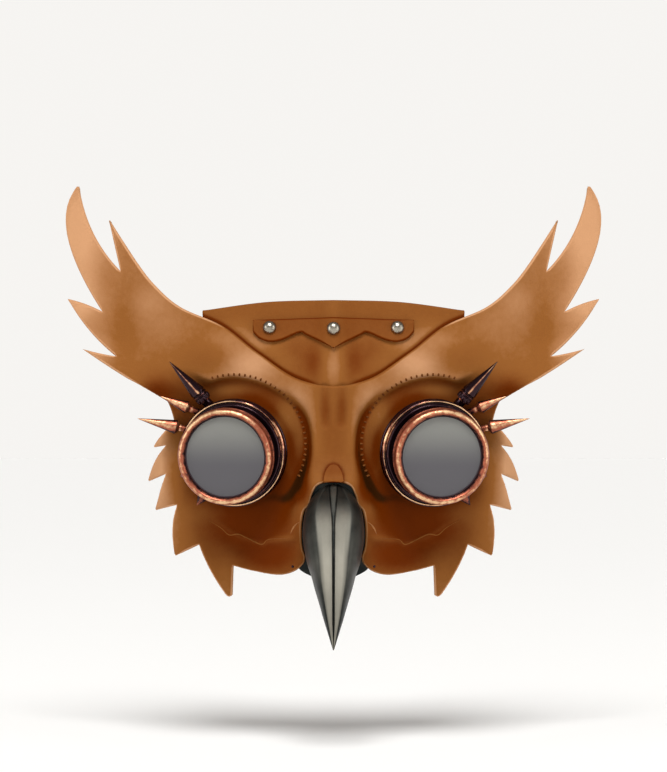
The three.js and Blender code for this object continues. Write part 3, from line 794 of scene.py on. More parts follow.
def forehead_shade(out, z, edge):
    seam = near_line(out, z, spline(brow_line, seam_step), brow_seam_shadow["width"])
    seam = seam * smoothstep(out, *brow_seam_shadow["fade"])
    return forehead_dye + soft_spots(out, z, forehead_dye_and_light_spots) + brow_seam_shadow["amount"] * seam


def tab_shade(out, z, edge):
    return tab_dye + seam_edge_shade * smoothstep(edge, *tab_edge_reach)


def formed_sheet(outline, layer, sizes, step, holes=()):
    """A sheet cut to an outline and formed over the mask, with rounded edges."""
    bm = bmesh.new()
    edge_round = min(sizes.edge_round / MM, (layer[1] - layer[0]) / 2)
    cut_sheet(bm, outline, holes, edge_round, step)
    grown = bmesh.ops.extrude_face_region(bm, geom=bm.faces[:], use_keep_orig=True)["geom"]
    behind = verts_of(grown)
    inset_layer = bm.verts.layers.float["inset"]
    for face in bm.faces:
        if behind.issuperset(face.verts):
            face.material_index = BACK
        elif not behind.isdisjoint(face.verts):
            face.material_index = EDGE
    x, z, inset, back = np.array([(v.co.x, v.co.z, v[inset_layer], v in behind) for v in bm.verts]).T
    rounding = edge_round - np.sqrt(np.maximum(0, edge_round**2 - (edge_round - inset) ** 2))
    depth = np.where(back > 0, layer[1] - rounding, layer[0] + rounding)
    for vert, place in zip(bm.verts, behind_leather(x, z, depth)):
        vert.co = place
    bmesh.ops.recalc_face_normals(bm, faces=bm.faces)
    return bm


def formed_leather(outline, layer, sizes, step, shade, holes=()):
    """A formed sheet with the antique colour, painted shade and painted highlights of its leather."""
    bm = formed_sheet(outline, layer, sizes, step, holes)
    dye_and_light_layer = bm.verts.layers.float.new("dye_and_light")
    inset_layer = bm.verts.layers.float["inset"]
    x, z, inset = np.array([(v.co.x, v.co.z, v[inset_layer]) for v in bm.verts]).T
    dye_and_light = shade(np.abs(x), z, 1 - inset / inset.max())
    # Darker where the leather around stands forward, as gathered colour and painted shade
    dye_and_light = dye_and_light + hollow_dye_and_shade["amount"] * np.clip(leather_hollow(x, z), *hollow_dye_and_shade["limits"])
    for vert, amount in zip(bm.verts, dye_and_light):
        vert[dye_and_light_layer] = amount
    return bm


def make_piece(name, bm, finishes, nodes=(), sharp=leather_sharp):
    """An object in metres from a bmesh in millimetres, riding on the mask in the place of CAD nodes."""
    if not bm.faces:
        raise RuntimeError(f"{name} has no faces")
    bmesh.ops.scale(bm, vec=(MM, MM, MM), verts=bm.verts)
    mesh = bpy.data.meshes.new(name)
    bm.to_mesh(mesh)
    bm.free()
    for material in finishes:
        mesh.materials.append(material)
    mesh.shade_smooth()
    mesh.set_sharp_from_angle(angle=math.radians(sharp))
    piece = bpy.data.objects.new(name, mesh)
    bpy.context.scene.collection.objects.link(piece)
    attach(piece, "root")
    if nodes:
        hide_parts(*nodes)
    return piece


def turned(profile, segments, edge_bevel, closed=True):
    """A piece turned about Z from a profile of radius and height, with its sharp edges eased."""
    bm = bmesh.new()
    verts = [bm.verts.new((radius, 0, axial)) for radius, axial in profile]
    pairs = list(zip(verts, verts[1:]))
    if closed:
        pairs.append((verts[-1], verts[0]))
    edges = [bm.edges.new(pair) for pair in pairs]
    bmesh.ops.spin(
        bm,
        geom=verts + edges,
        cent=(0, 0, 0),
        axis=(0, 0, 1),
        angle=2 * math.pi,
        steps=segments,
        use_merge=True,
    )
    bmesh.ops.remove_doubles(bm, verts=bm.verts, dist=same_point)
    bmesh.ops.recalc_face_normals(bm, faces=bm.faces)
    least = math.radians(eased_sharp)
    sharp = [edge for edge in bm.edges if edge.is_manifold and edge.calc_face_angle() > least]
    bmesh.ops.bevel(
        bm,
        geom=sharp,
        offset=edge_bevel,
        segments=2,
        profile=0.5,
        affect="EDGES",
        material=-1,
        clamp_overlap=True,
    )
    return bm


def turn_from(vert, start, side=1):
    """How far a vertex is turned about Z from a start angle, which counts from -X on the left side."""
    return math.remainder(math.atan2(vert.co.y, side * vert.co.x) - start, 2 * math.pi)


def away_from(vert, radius, height):
    """Distance of a vertex from a circle about Z."""
    return math.hypot(math.hypot(vert.co.x, vert.co.y) - radius, vert.co.z - height)


def mark_wear_and_light(bm, worn):
    """Rubbed places of a turned piece, some of them painted highlights: radius, height, reach and amount."""
    wear_and_light = bm.verts.layers.float.new("wear_and_light")
    for vert in bm.verts:
        rubbed = [a * bell(away_from(vert, radius, height) / reach) for radius, height, reach, a in worn]
        vert[wear_and_light] = max(rubbed)


def worn_and_lit_ring(profile, segments, edge_bevel, worn, side):
    """A turned ring of an eyepiece, rubbed, with a painted highlight that swings brightest at its upper
    outside and lower inside.
    """
    bm = turned(profile, segments, edge_bevel)
    mark_wear_and_light(bm, worn)
    wear_and_light = bm.verts.layers.float["wear_and_light"]
    for vert in bm.verts:
        turn = turn_from(vert, ring_rub_and_highlight["turn"], side)
        vert[wear_and_light] *= ring_rub_and_highlight["mean"] + ring_rub_and_highlight["swing"] * math.cos(2 * turn)
    return bm


def eye_frame(side):
    """The place and tilt of an eyepiece, whose axis points to -Y in it."""
    place = Matrix.Translation((side * eye["out"], -eye["forward"], eye["z"]))
    return place @ Matrix.Rotation(side * eye["yaw"], 4, "Z") @ Matrix.Rotation(eye["pitch"], 4, "X")


def seat_in_eye(bm, side):
    """Moves a piece turned about Z onto the eyepiece's axis."""
    forwards = Matrix.Rotation(math.radians(90), 4, "X")
    bmesh.ops.transform(bm, matrix=eye_frame(side) @ forwards, verts=bm.verts)


def pointing(place, direction):
    """Places a piece turned about Z at a point, with Z along a direction."""
    return Matrix.Translation(place) @ direction.to_track_quat("Z", "Y").to_matrix().to_4x4()


def set_on_leather(bm, x, z, behind):
    """Moves a piece turned about Z onto the leather, so far behind its front and square to it."""
    across, up = leather_slope(x, z)
    place = behind_leather(np.array([x]), np.array([z]), np.array([behind]))[0]
    bmesh.ops.transform(bm, matrix=pointing(place, Vector((-across, -1, -up))), verts=bm.verts)


def swept(rings):
    """A closed skin through rings of points, extruded from each to the next, with the ring order kept."""
    bm = bmesh.new()
    _, edges = add_loop(bm, rings[0])
    order = bm.verts.layers.int["order"]
    bmesh.ops.contextual_create(bm, geom=edges)
    for ring in rings[1:]:
        verts, edges = extruded_loop(bm, edges)
        for vert in verts:
            vert.co = ring[vert[order]]
    bmesh.ops.contextual_create(bm, geom=edges)
    bmesh.ops.recalc_face_normals(bm, faces=bm.faces)
    return bm


def crease(row, side, step):
    """A thin raised crease along a line on the leather, fading out at both ends."""
    line = np.vstack([row["line"][:1], spline(row["line"], step)])
    run = np.gradient(line, axis=0)
    across = np.column_stack([-run[:, 1], run[:, 0]]) / np.hypot(run[:, 0], run[:, 1])[:, None]
    swell = np.clip(np.sin(np.linspace(0, math.pi, len(line))), crease_end, 1)
    sunk, foot = crease_sunk["side"], crease_sunk["foot"]
    rings = []
    for (out, z), (aside, up), share in zip(line, across, swell):
        half = np.array([1, 0, -1, 0]) * row["width"] / 2 * share
        depth = np.array([sunk, -row["height"] * share, sunk, foot])
        rings.append(behind_leather(side * (out + aside * half), z + up * half, depth))
    bm = swept(rings)
    # Paler than the leather around, a painted highlight along the crease
    dye_and_light = bm.verts.layers.float.new("dye_and_light")
    for vert in bm.verts:
        vert[dye_and_light] = row["dye_and_light"]
    return bm


def beak_section(z):
    """One level ring of the beak, from the front towards +X, and how bright each point is polished, with
    painted shade in the grooves and near the root.
    """
    half, facet, ridge, back = (float(along(beak_rows, column, z)) for column in beak_columns.values())
    small = min(1, facet / beak_keel["full_facet"])
    rise = 1 - smoothstep(-z, *beak_keel["narrows"])
    keel = small * lerp(beak_keel["low"], beak_keel["top"], rise)
    groove = small * lerp(beak_groove["top"], beak_groove["low"], smoothstep(-z, *beak_groove["narrows"]))
    bottom = ridge - small * beak_groove["depth"]
    top = lerp(bottom, ridge, rise)
    dip = lerp((bottom + ridge) / 2, bottom, rise)
    flank = lerp(ridge, back, beak_flank_share)
    edge = ridge - beak_facet["fall"] * facet
    turns = np.linspace(0, math.pi / 2, beak_points["flank"] + 1)[1:]
    sides = np.linspace(0, 1, beak_points["side"] + 1)[1:]
    backs = np.linspace(1, 0, beak_points["back"] + 1)[1:]
    out = np.concatenate([
        [0, keel * beak_keel["crown"], keel, keel + groove / 2],
        lerp(keel + groove, facet, beak_facet["shares"]),
        facet + (half - facet) * np.sin(turns),
        np.full(len(sides), half),
        half * backs,
    ])
    forward = np.concatenate([
        [top, top, top, dip],
        lerp(ridge - small * beak_facet["lip"], edge, beak_facet["shares"]),
        lerp(edge, flank, 1 - np.cos(turns)),
        lerp(flank, back, sides),
        np.full(len(backs), back),
    ])
    down = lerp(beak_polish_and_shade["at_top"], 1, smoothstep(-z, *beak_polish_and_shade["from_top"]))
    down *= lerp(1, beak_polish_and_shade["at_tip"], smoothstep(-z, *beak_polish_and_shade["to_tip"]))
    to_tip = smoothstep(-z, *beak_flank_bright["fade"])
    flank_bright = lerp(beak_flank_bright["root"], beak_flank_bright["tip"], to_tip)
    rest = len(out) - len(keel_polish_and_shade) - len(facet_bright)
    bright = np.concatenate([rise * keel_polish_and_shade, down * facet_bright, np.full(rest, flank_bright)])
    right = np.column_stack([out, -forward, np.full(len(out), z)])
    left = right[1:-1][::-1] * (-1, 1, 1)
    return np.vstack([right, left]), np.concatenate([bright, bright[1:-1][::-1]])


def beak_horn():
    """The beak's outer skin from its root to its tip, open into its hollow at the back."""
    levels = np.append(np.arange(beak_rows[0, 0], beak_rows[-1, 0], -beak_ring_step), beak_rows[-1, 0])
    sections = [beak_section(z) for z in levels]
    bm = swept([ring for ring, _ in sections])
    # Each point gets its polish and its painted shade
    polish_and_shade_layer = bm.verts.layers.float.new("facet")
    order = bm.verts.layers.int["order"]
    for vert in bm.verts:
        nearest = int(np.argmin(np.abs(levels - vert.co.z)))
        vert[polish_and_shade_layer] = sections[nearest][1][vert[order]]
    open_faces = []
    for face in bm.faces:
        middle = face.calc_center_median()
        from_back = middle.y + float(along(beak_rows, beak_columns["back"], middle.z))
        at_back = abs(from_back) < beak_hollow["depth"] and face.normal.y > beak_hollow["facing"]
        if at_back and beak_hollow["bottom"] < middle.z < beak_hollow["top"]:
            open_faces.append(face)
    bmesh.ops.delete(bm, geom=open_faces, context="FACES")
    return bm


# Sockets that go by number: the ends of a mapped range and what they become,
# and the share and the two colours of a mix
LOW, HIGH, TO_LOW, TO_HIGH = 1, 2, 3, 4
SHARE, FROM, INTO = 0, 6, 7
COLOUR = {"output": 2, "data_type": "RGBA"}
SOFT = {"interpolation_type": "SMOOTHSTEP"}


def add(tree, kind, inputs, output=0, **settings):
    """Adds a node with its settings, sets or links its inputs by name or number, and gives one output."""
    node = tree.nodes.new("ShaderNode" + kind)
    for key, value in settings.items():
        setattr(node, key, value)
    for key, value in inputs.items():
        if isinstance(value, bpy.types.NodeSocket):
            tree.links.new(value, node.inputs[key])
        else:
            node.inputs[key].default_value = value
    return node.outputs[output] if node.outputs else None


def per_mm(size):
    """The scale of a pattern whose features measure so many millimetres."""
    return 1 / (size * MM)


def finish(build):
    """The material that a function builds, made once and named for it."""
    material = bpy.data.materials.get(build.__name__)
    if material is None:
        material = bpy.data.materials.new(build.__name__)
        material.use_nodes = True
        tree = material.node_tree
        tree.nodes.clear()
        shader = build(tree, bpy.context.scene.owl_mask_colours)
        add(tree, "OutputMaterial", {"Surface": shader})
    return material


def vegetable_tanned_leather(tree, colours):
    # Vegetable-tanned cowhide, formed wet, dyed by hand and waxed: a soft sheen over fine grain,
    # with antique colour that is cloudy and rubbed pale on tips, and with painted shade in hollows, creases
    # and seams and painted highlights on brows, ridges and edges.
    # The grain is drawn coarser than a real one, so that it shows.
    place = add(tree, "TexCoord", {}, "Object")
    dye_and_light = add(tree, "Attribute", {}, "Fac", attribute_name="dye_and_light")
    cloud = add(tree, "TexNoise", {"Vector": place, "Scale": per_mm(26), "Detail": 5, "Roughness": 0.6})
    fleck = add(tree, "TexNoise", {"Vector": place, "Scale": per_mm(3.2), "Detail": 4, "Roughness": 0.65})
    grain = add(tree, "TexVoronoi", {"Vector": place, "Scale": per_mm(0.9)}, feature="SMOOTH_F1")
    cloudy = add(tree, "MapRange", {"Value": cloud, LOW: 0.3, HIGH: 0.7, TO_LOW: -0.02, TO_HIGH: 0.02})
    flecked = add(tree, "MapRange", {"Value": fleck, LOW: 0.3, HIGH: 0.7, TO_LOW: -0.02, TO_HIGH: 0.02})
    uneven = add(tree, "Math", {0: cloudy, 1: flecked}, operation="ADD")
    depth = add(tree, "Math", {0: dye_and_light, 1: uneven}, operation="ADD")
    to_tan = add(tree, "MapRange", {"Value": depth, LOW: 0.0, HIGH: 0.39})
    to_dark = add(tree, "MapRange", {"Value": depth, LOW: 0.32, HIGH: 1.0}, **SOFT)
    # The darkest leather is painted shadow, reached only where shade is painted most
    to_painted_shadow = add(tree, "MapRange", {"Value": depth, LOW: 1.1, HIGH: 1.7}, **SOFT)
    pale, painted_shadow = colours.leather_pale, colours.leather_painted_shadow
    tan = add(tree, "Mix", {SHARE: to_tan, FROM: pale, INTO: colours.leather_tan}, **COLOUR)
    dark = add(tree, "Mix", {SHARE: to_painted_shadow, FROM: colours.leather_dark, INTO: painted_shadow}, **COLOUR)
    colour = add(tree, "Mix", {SHARE: to_dark, FROM: tan, INTO: dark}, **COLOUR)
    rough = add(tree, "MapRange", {"Value": cloud, LOW: 0.3, HIGH: 0.7, TO_LOW: 0.46, TO_HIGH: 0.6})
    height = add(tree, "Math", {0: grain, 1: fleck}, operation="ADD")
    bump = add(tree, "Bump", {"Height": height, "Distance": 0.15 * MM, "Strength": 0.35})
    look = {"Base Color": colour, "Roughness": rough, "Specular IOR Level": 0.025, "Normal": bump}
    return add(tree, "BsdfPrincipled", look)


def raw_leather_edge(tree, colours):
    # The cut edge of the same hide, burnished with wax: paler than the dyed face, with fine fibres, and
    # painted darker as shade where it lies over another piece.
    place = add(tree, "TexCoord", {}, "Object")
    dye_and_light = add(tree, "Attribute", {}, "Fac", attribute_name="dye_and_light")
    fibre = add(tree, "TexNoise", {"Vector": place, "Scale": per_mm(1.2), "Detail": 4, "Roughness": 0.7})
    shade = add(tree, "MapRange", {"Value": fibre, LOW: 0.35, HIGH: 0.75})
    raw = add(tree, "Mix", {SHARE: shade, FROM: colours.leather_edge, INTO: colours.leather_tan}, **COLOUR)
    to_dark = add(tree, "MapRange", {"Value": dye_and_light, LOW: 0.3, HIGH: 0.9}, **SOFT)
    colour = add(tree, "Mix", {SHARE: to_dark, FROM: raw, INTO: colours.leather_dark}, **COLOUR)
    bump = add(tree, "Bump", {"Height": fibre, "Distance": 0.15 * MM, "Strength": 0.4})
    look = {"Base Color": colour, "Roughness": 0.5, "Specular IOR Level": 0.06, "Normal": bump}
    return add(tree, "BsdfPrincipled", look)


def suede_flesh_side(tree, colours):
    # The inside of the hide, left undyed: a matt, furry nap with brown stains where it was wetted.
    place = add(tree, "TexCoord", {}, "Object")
    nap = add(tree, "TexNoise", {"Vector": place, "Scale": per_mm(0.7), "Detail": 4, "Roughness": 0.7})
    stain = add(tree, "TexNoise", {"Vector": place, "Scale": per_mm(30), "Detail": 5, "Roughness": 0.6})
    shade = add(tree, "MapRange", {"Value": stain, LOW: 0.35, HIGH: 0.75, TO_HIGH: 0.55})
    flesh = colours.leather_flesh
    colour = add(tree, "Mix", {SHARE: shade, FROM: flesh, INTO: colours.leather_tan}, **COLOUR)
    bump = add(tree, "Bump", {"Height": nap, "Distance": 0.2 * MM, "Strength": 0.5})
    look = {"Base Color": colour, "Roughness": 0.9, "Specular IOR Level": 0.05, "Normal": bump}
    return add(tree, "BsdfPrincipled", look)


def aged_copper(tree, colours, blotch_mm, patina, rough, coat):
    """Copper plate whose patina gives way to red and then golden copper where it is rubbed and where
    highlights are painted, and stays dark under painted shade.
    """
    place = add(tree, "TexCoord", {}, "Object")
    wear_and_light = add(tree, "Attribute", {}, "Fac", attribute_name="wear_and_light")
    blotches = per_mm(blotch_mm)
    blotch = add(tree, "TexNoise", {"Vector": place, "Scale": blotches, "Detail": 5, "Roughness": 0.65})
    scuff = add(tree, "TexNoise", {"Vector": place, "Scale": per_mm(1.1), "Detail": 3, "Roughness": 0.6})
    uneven = add(tree, "MapRange", {"Value": blotch, LOW: 0.3, HIGH: 0.7, TO_LOW: -0.35, TO_HIGH: 0.35})
    bared = add(tree, "Math", {0: wear_and_light, 1: uneven}, operation="ADD")
    to_red = add(tree, "MapRange", {"Value": bared, LOW: patina[0], HIGH: patina[1]}, **SOFT)
    to_gold = add(tree, "MapRange", {"Value": bared, LOW: 0.5, HIGH: 1.05}, **SOFT)
    red = add(tree, "Mix", {SHARE: to_red, FROM: colours.patina, INTO: colours.copper_red}, **COLOUR)
    colour = add(tree, "Mix", {SHARE: to_gold, FROM: red, INTO: colours.copper_gold}, **COLOUR)
    shine = add(tree, "MapRange", {"Value": scuff, LOW: 0.3, HIGH: 0.7, TO_LOW: rough[0], TO_HIGH: rough[1]})
    bump = add(tree, "Bump", {"Height": scuff, "Distance": 0.08 * MM, "Strength": 0.4})
    look = {"Base Color": colour, "Metallic": 0.85, "Roughness": shine, "Normal": bump}
    return add(tree, "BsdfPrincipled", {**look, "Coat Weight": coat, "Coat Roughness": 0.12})


def antique_copper_plate(tree, colours):
    # Copper plate antiqued and rubbed back: golden on the edges and on painted highlights, red in between,
    # brown in the grooves and under painted shade.
    return aged_copper(tree, colours, blotch_mm=2.6, patina=(-0.15, 0.35), rough=(0.3, 0.48), coat=0.0)


def dark_patina_copper(tree, colours):
    # Copper plate left nearly black by its patina and lacquered, bared where it is handled and along painted
    # highlights.
    return aged_copper(tree, colours, blotch_mm=6, patina=(0.35, 0.8), rough=(0.12, 0.26), coat=0.15)


def polished_gunmetal(tree, colours):
    # Blued gunmetal, polished bright on the front facets: clean soft reflections and long scratches,
    # which are drawn wider than real ones, so that they show.
    place = add(tree, "TexCoord", {}, "Object")
    # The facet values also paint shade in the grooves and near the root
    facet = add(tree, "Attribute", {}, "Fac", attribute_name="facet")
    drawn = add(tree, "Mapping", {"Vector": place, "Scale": (1, 1, 0.06)})
    scratch = add(tree, "TexNoise", {"Vector": drawn, "Scale": per_mm(0.9), "Detail": 3, "Roughness": 0.6})
    cloud = add(tree, "TexNoise", {"Vector": place, "Scale": per_mm(12), "Detail": 4, "Roughness": 0.55})
    uneven = add(tree, "MapRange", {"Value": cloud, LOW: 0.3, HIGH: 0.7, TO_LOW: -0.06, TO_HIGH: 0.06})
    light = add(tree, "Math", {0: facet, 1: uneven}, operation="ADD", use_clamp=True)
    dark, bright = colours.gunmetal_dark, colours.gunmetal_light
    colour = add(tree, "Mix", {SHARE: light, FROM: dark, INTO: bright}, **COLOUR)
    rough = add(tree, "MapRange", {"Value": scratch, LOW: 0.3, HIGH: 0.7, TO_LOW: 0.4, TO_HIGH: 0.52})
    bump = add(tree, "Bump", {"Height": scratch, "Distance": 0.04 * MM, "Strength": 0.3})
    look = {"Base Color": colour, "Metallic": 0.9, "Roughness": rough, "Normal": bump}
    return add(tree, "BsdfPrincipled", look)


def tarnished_nickel(tree, colours):
    # Nickel plate gone dull: grey and bright, with brown tarnish in cloudy spots.
    place = add(tree, "TexCoord", {}, "Object")
    spot = add(tree, "TexNoise", {"Vector": place, "Scale": per_mm(2.4), "Detail": 4, "Roughness": 0.6})
    tarnish = add(tree, "MapRange", {"Value": spot, LOW: 0.5, HIGH: 0.85})
    colour = add(tree, "Mix", {SHARE: tarnish, FROM: colours.nickel, INTO: colours.patina}, **COLOUR)
    rough = add(tree, "MapRange", {"Value": spot, LOW: 0.3, HIGH: 0.7, TO_LOW: 0.2, TO_HIGH: 0.4})
    return add(tree, "BsdfPrincipled", {"Base Color": colour, "Metallic": 1.0, "Roughness": rough})


def polished_smoked_glass(tree, colours):
    # Polished smoked glass, darker towards the bottom, with a faint bloom of dust.
    place = add(tree, "TexCoord", {}, "Object")
    height = add(tree, "SeparateXYZ", {"Vector": place}, "Z")
    fade = add(tree, "MapRange", {"Value": height, LOW: -10 * MM, HIGH: 17 * MM}, **SOFT)
    colour = add(tree, "Mix", {SHARE: fade, FROM: colours.glass_bottom, INTO: colours.glass_top}, **COLOUR)
    dust = add(tree, "TexNoise", {"Vector": place, "Scale": per_mm(7), "Detail": 5, "Roughness": 0.7})
    rough = add(tree, "MapRange", {"Value": dust, LOW: 0.35, HIGH: 0.75, TO_LOW: 0.06, TO_HIGH: 0.16})
    return add(tree, "BsdfPrincipled", {"Base Color": colour, "Roughness": rough, "IOR": 1.52})


def black_rubber(tree, colours):
    # Moulded rubber of the lens gasket: nearly black, matt, faintly mottled.
    place = add(tree, "TexCoord", {}, "Object")
    mottle = add(tree, "TexNoise", {"Vector": place, "Scale": per_mm(1.5), "Detail": 3})
    rough = add(tree, "MapRange", {"Value": mottle, LOW: 0.3, HIGH: 0.7, TO_LOW: 0.5, TO_HIGH: 0.7})
    look = {"Base Color": colours.patina, "Roughness": rough, "Specular IOR Level": 0.3}
    return add(tree, "BsdfPrincipled", look)


def waxed_thread(tree, colours):
    # Waxed linen thread: matt, with twisted strands, painted dark as shade over the top of the socket and
    # paler by the nose, where it is lit.
    place = add(tree, "TexCoord", {}, "Object")
    dye_and_light = add(tree, "Attribute", {}, "Fac", attribute_name="dye_and_light")
    strand = add(tree, "TexNoise", {"Vector": place, "Scale": per_mm(0.4), "Detail": 2})
    shade = add(tree, "MapRange", {"Value": strand, LOW: 0.3, HIGH: 0.8})
    rubbed = add(tree, "Mix", {SHARE: shade, FROM: colours.leather_tan, INTO: colours.leather_dark}, **COLOUR)
    colour = add(tree, "Mix", {SHARE: dye_and_light, FROM: rubbed, INTO: colours.thread}, **COLOUR)
    look = {"Base Color": colour, "Roughness": 0.65, "Specular IOR Level": 0.08}
    return add(tree, "BsdfPrincipled", look)


def painted_floor(tree, colours):
    # Matt white studio paint.
    look = {"Base Color": colours.floor, "Roughness": 0.9, "Specular IOR Level": 0.1}
    return add(tree, "BsdfPrincipled", look)


def leather_finishes():
    return [finish(vegetable_tanned_leather), finish(raw_leather_edge), finish(suede_flesh_side)]


class OWLMASK_OT_face_leather(bpy.types.Operator):
    """Forms the face leather with its wings, eye sockets, nose and cheek feathers"""

    bl_idname = "owl_mask.face_leather"
    bl_label = "Face leather"

    def execute(self, context):
        sizes = context.scene.owl_mask_sizes
        step = sizes.mesh_step / MM
        outline = full_outline([brow_line, wing_rows + cheek_feather_rows, lip_lobe, beak_opening], step)
        width = eye_hole["radius"] * math.cos(eye["yaw"])
        height = eye_hole["radius"] * math.cos(eye["pitch"])
        holes = []
        for side in SIDES.values():
            holes.append(ellipse((side * eye["out"], eye["z"]), width, height, eye_hole["points"]))
        layer = (0, sizes.face_thickness / MM)
        bm = formed_leather(outline, layer, sizes, step, face_shade, holes)
        make_piece("formed_face", bm, leather_finishes(), ["face_leather"])
        return {"FINISHED"}


class OWLMASK_OT_socket_stitches(bpy.types.Operator):
    """Lays a row of short stitches across the sharp rim of each eye socket"""

    bl_idname = "owl_mask.socket_stitches"
    bl_label = "Socket stitches"

    def execute(self, context):
        sizes = context.scene.owl_mask_sizes
        start, end = stitch_arc["turns"]
        run = math.radians(end - start) * stitch_arc["radius"]
        turns = np.linspace(start, end, round(run / (sizes.stitch_spacing / MM)))
        for hand, side in SIDES.items():
            bm = bmesh.new()
            dye_and_light = bm.verts.layers.float.new("dye_and_light")
            for turn in turns:
                made = self.lay_stitch(bm, side, math.radians(turn), sizes.stitch_length / MM)
                for vert in made["verts"]:
                    # The thread is painted dark as shade over the top of the rim
                    vert[dye_and_light] = 1 - smoothstep(turn, *stitch_arc["shaded_until"])
            make_piece(f"socket_stitches_{hand}", bm, [finish(waxed_thread)])
        return {"FINISHED"}

    def lay_stitch(self, bm, side, turn, length):
        """One stitch across the rim, sunk a little into the leather."""
        ends = stitch_arc["radius"] + np.array([-0.5, 0.5]) * length
        x = side * (socket["out"] + ends * math.cos(turn))
        z = socket["z"] + ends * math.sin(turn)
        sunk = np.full(2, stitch_thread["sunk"])
        low, high = (Vector(place) for place in behind_leather(x, z, sunk))
        radius = stitch_thread["radius"]
        shape = Matrix.Diagonal((radius, radius, (high - low).length / 2, 1))
        return bmesh.ops.create_uvsphere(
            bm,
            u_segments=stitch_thread["segments"],
            v_segments=stitch_thread["rings"],
            radius=1,
            matrix=pointing((low + high) / 2, high - low) @ shape,
        )


class OWLMASK_OT_leather_panels(bpy.types.Operator):
    """Forms the forehead panel, the studded tab and the tongue above the beak"""

    bl_idname = "owl_mask.leather_panels"
    bl_label = "Leather panels"

    def execute(self, context):
        sizes = context.scene.owl_mask_sizes
        step = sizes.fine_step / MM
        panels = [
            ("forehead_leather", "forehead", [forehead_top, forehead_lower], forehead_layer, forehead_shade),
            ("stud_tab", "stud_tab", [stud_tab_top, stud_tab_lower], stud_tab_layer, tab_shade),
            ("nose_tab", "nose_tab", [nose_tab_edge], nose_tab_layer, tab_shade),
        ]
        for node, name, lines, layer, shade in panels:
            bm = formed_leather(full_outline(lines, step), layer, sizes, step, shade)
            make_piece(f"formed_{name}", bm, leather_finishes(), [node])
        return {"FINISHED"}


class OWLMASK_OT_lip_details(bpy.types.Operator):
    """Adds the rivets at the lip's corners and the creases beside the beak and across the cheeks"""

    bl_idname = "owl_mask.lip_details"
    bl_label = "Lip details"

    def execute(self, context):
        step = context.scene.owl_mask_sizes.fine_step / MM
        leather = [finish(vegetable_tanned_leather)]
        for hand, side in SIDES.items():
            bm = turned(lip_rivet_profile, lip_rivet["segments"], eased["rivet"], closed=False)
            mark_wear_and_light(bm, lip_rivet_worn)
            set_on_leather(bm, side * lip_rivet["out"], lip_rivet["z"], 0)
            make_piece(f"lip_rivet_{hand}", bm, [finish(dark_patina_copper)])
            for name, row in crease_rows.items():
                bm = crease(row, side, step)
                make_piece(f"{name}_crease_{hand}", bm, leather, sharp=crease_sharp)
        return {"FINISHED"}


class OWLMASK_OT_dome_studs(bpy.types.Operator):
    """Turns the three dome studs and sets them on their tab"""

    bl_idname = "owl_mask.dome_studs"
    bl_label = "Dome studs"

    def execute(self, context):
        segments = context.scene.owl_mask_sizes.turned_segments // 2
        nickel = [finish(tarnished_nickel)]
        for name, (x, z) in stud_rows.items():
            bm = turned(stud_profile, segments, eased["stud"], closed=False)
            set_on_leather(bm, x, z, stud_behind)
            make_piece(f"turned_stud_{name}", bm, nickel, [f"dome_stud_{name}"], metal_sharp)
        return {"FINISHED"}


class OWLMASK_OT_beak(bpy.types.Operator):
    """Shapes the hollow beak and the flange that holds it behind the leather"""

    bl_idname = "owl_mask.beak"
    bl_label = "Beak"

    def execute(self, context):
        sizes = context.scene.owl_mask_sizes
        gunmetal = finish(polished_gunmetal)
        horn = make_piece("hooked_beak", beak_horn(), [gunmetal], ["beak"], beak_sharp)
        self.add_wall(horn)
        step = sizes.mesh_step / MM
        hole = full_outline([beak_flange_hole], step)
        bm = formed_sheet(full_outline([beak_flange_edge], step), beak_flange_layer, sizes, step, [hole])
        make_piece("beak_flange", bm, [gunmetal] * 3)
        return {"FINISHED"}

    def add_wall(self, horn):
        """Gives the beak a wall inwards, which is thinner where the beak is narrow."""
        wall = horn.modifiers.new("Beak wall", "SOLIDIFY")
        wall.thickness = beak_wall["thickness"] * MM
        wall.offset = -1
        thinned = horn.vertex_groups.new(name="wall_share")
        for vert in horn.data.vertices:
            half = float(along(beak_rows, beak_columns["half"], vert.co.z / MM))
            share = min(1, beak_wall["share"] * half / beak_wall["thickness"])
            thinned.add([vert.index], share, "REPLACE")
        wall.vertex_group = thinned.name


class OWLMASK_OT_eye_cups(bpy.types.Operator):
    """Turns the flanged barrel of each eyepiece"""

    bl_idname = "owl_mask.eye_cups"
    bl_label = "Eye cups"

    def execute(self, context):
        sizes = context.scene.owl_mask_sizes
        copper = [finish(dark_patina_copper)]
        for hand, side in SIDES.items():
            bm = worn_and_lit_ring(eye_cup_profile, sizes.turned_segments, eased["cup"], cup_worn_and_lit, side)
            self.paint_red_glint(bm, side)
            seat_in_eye(bm, side)
            make_piece(f"turned_cup_{hand}", bm, copper, [f"eye_cup_{hand}"], metal_sharp)
        return {"FINISHED"}

    def paint_red_glint(self, bm, side):
        """Bares red copper on the flange where it turns to the nose, painted as a glint."""
        wear_and_light = bm.verts.layers.float["wear_and_light"]
        for vert in bm.verts:
            across = bell(turn_from(vert, cup_red_glint["turn"], side) / cup_red_glint["width"])
            near = bell(away_from(vert, **cup_red_glint_place) / cup_red_glint["reach"])
            vert[wear_and_light] = max(vert[wear_and_light], cup_red_glint["amount"] * across * near)


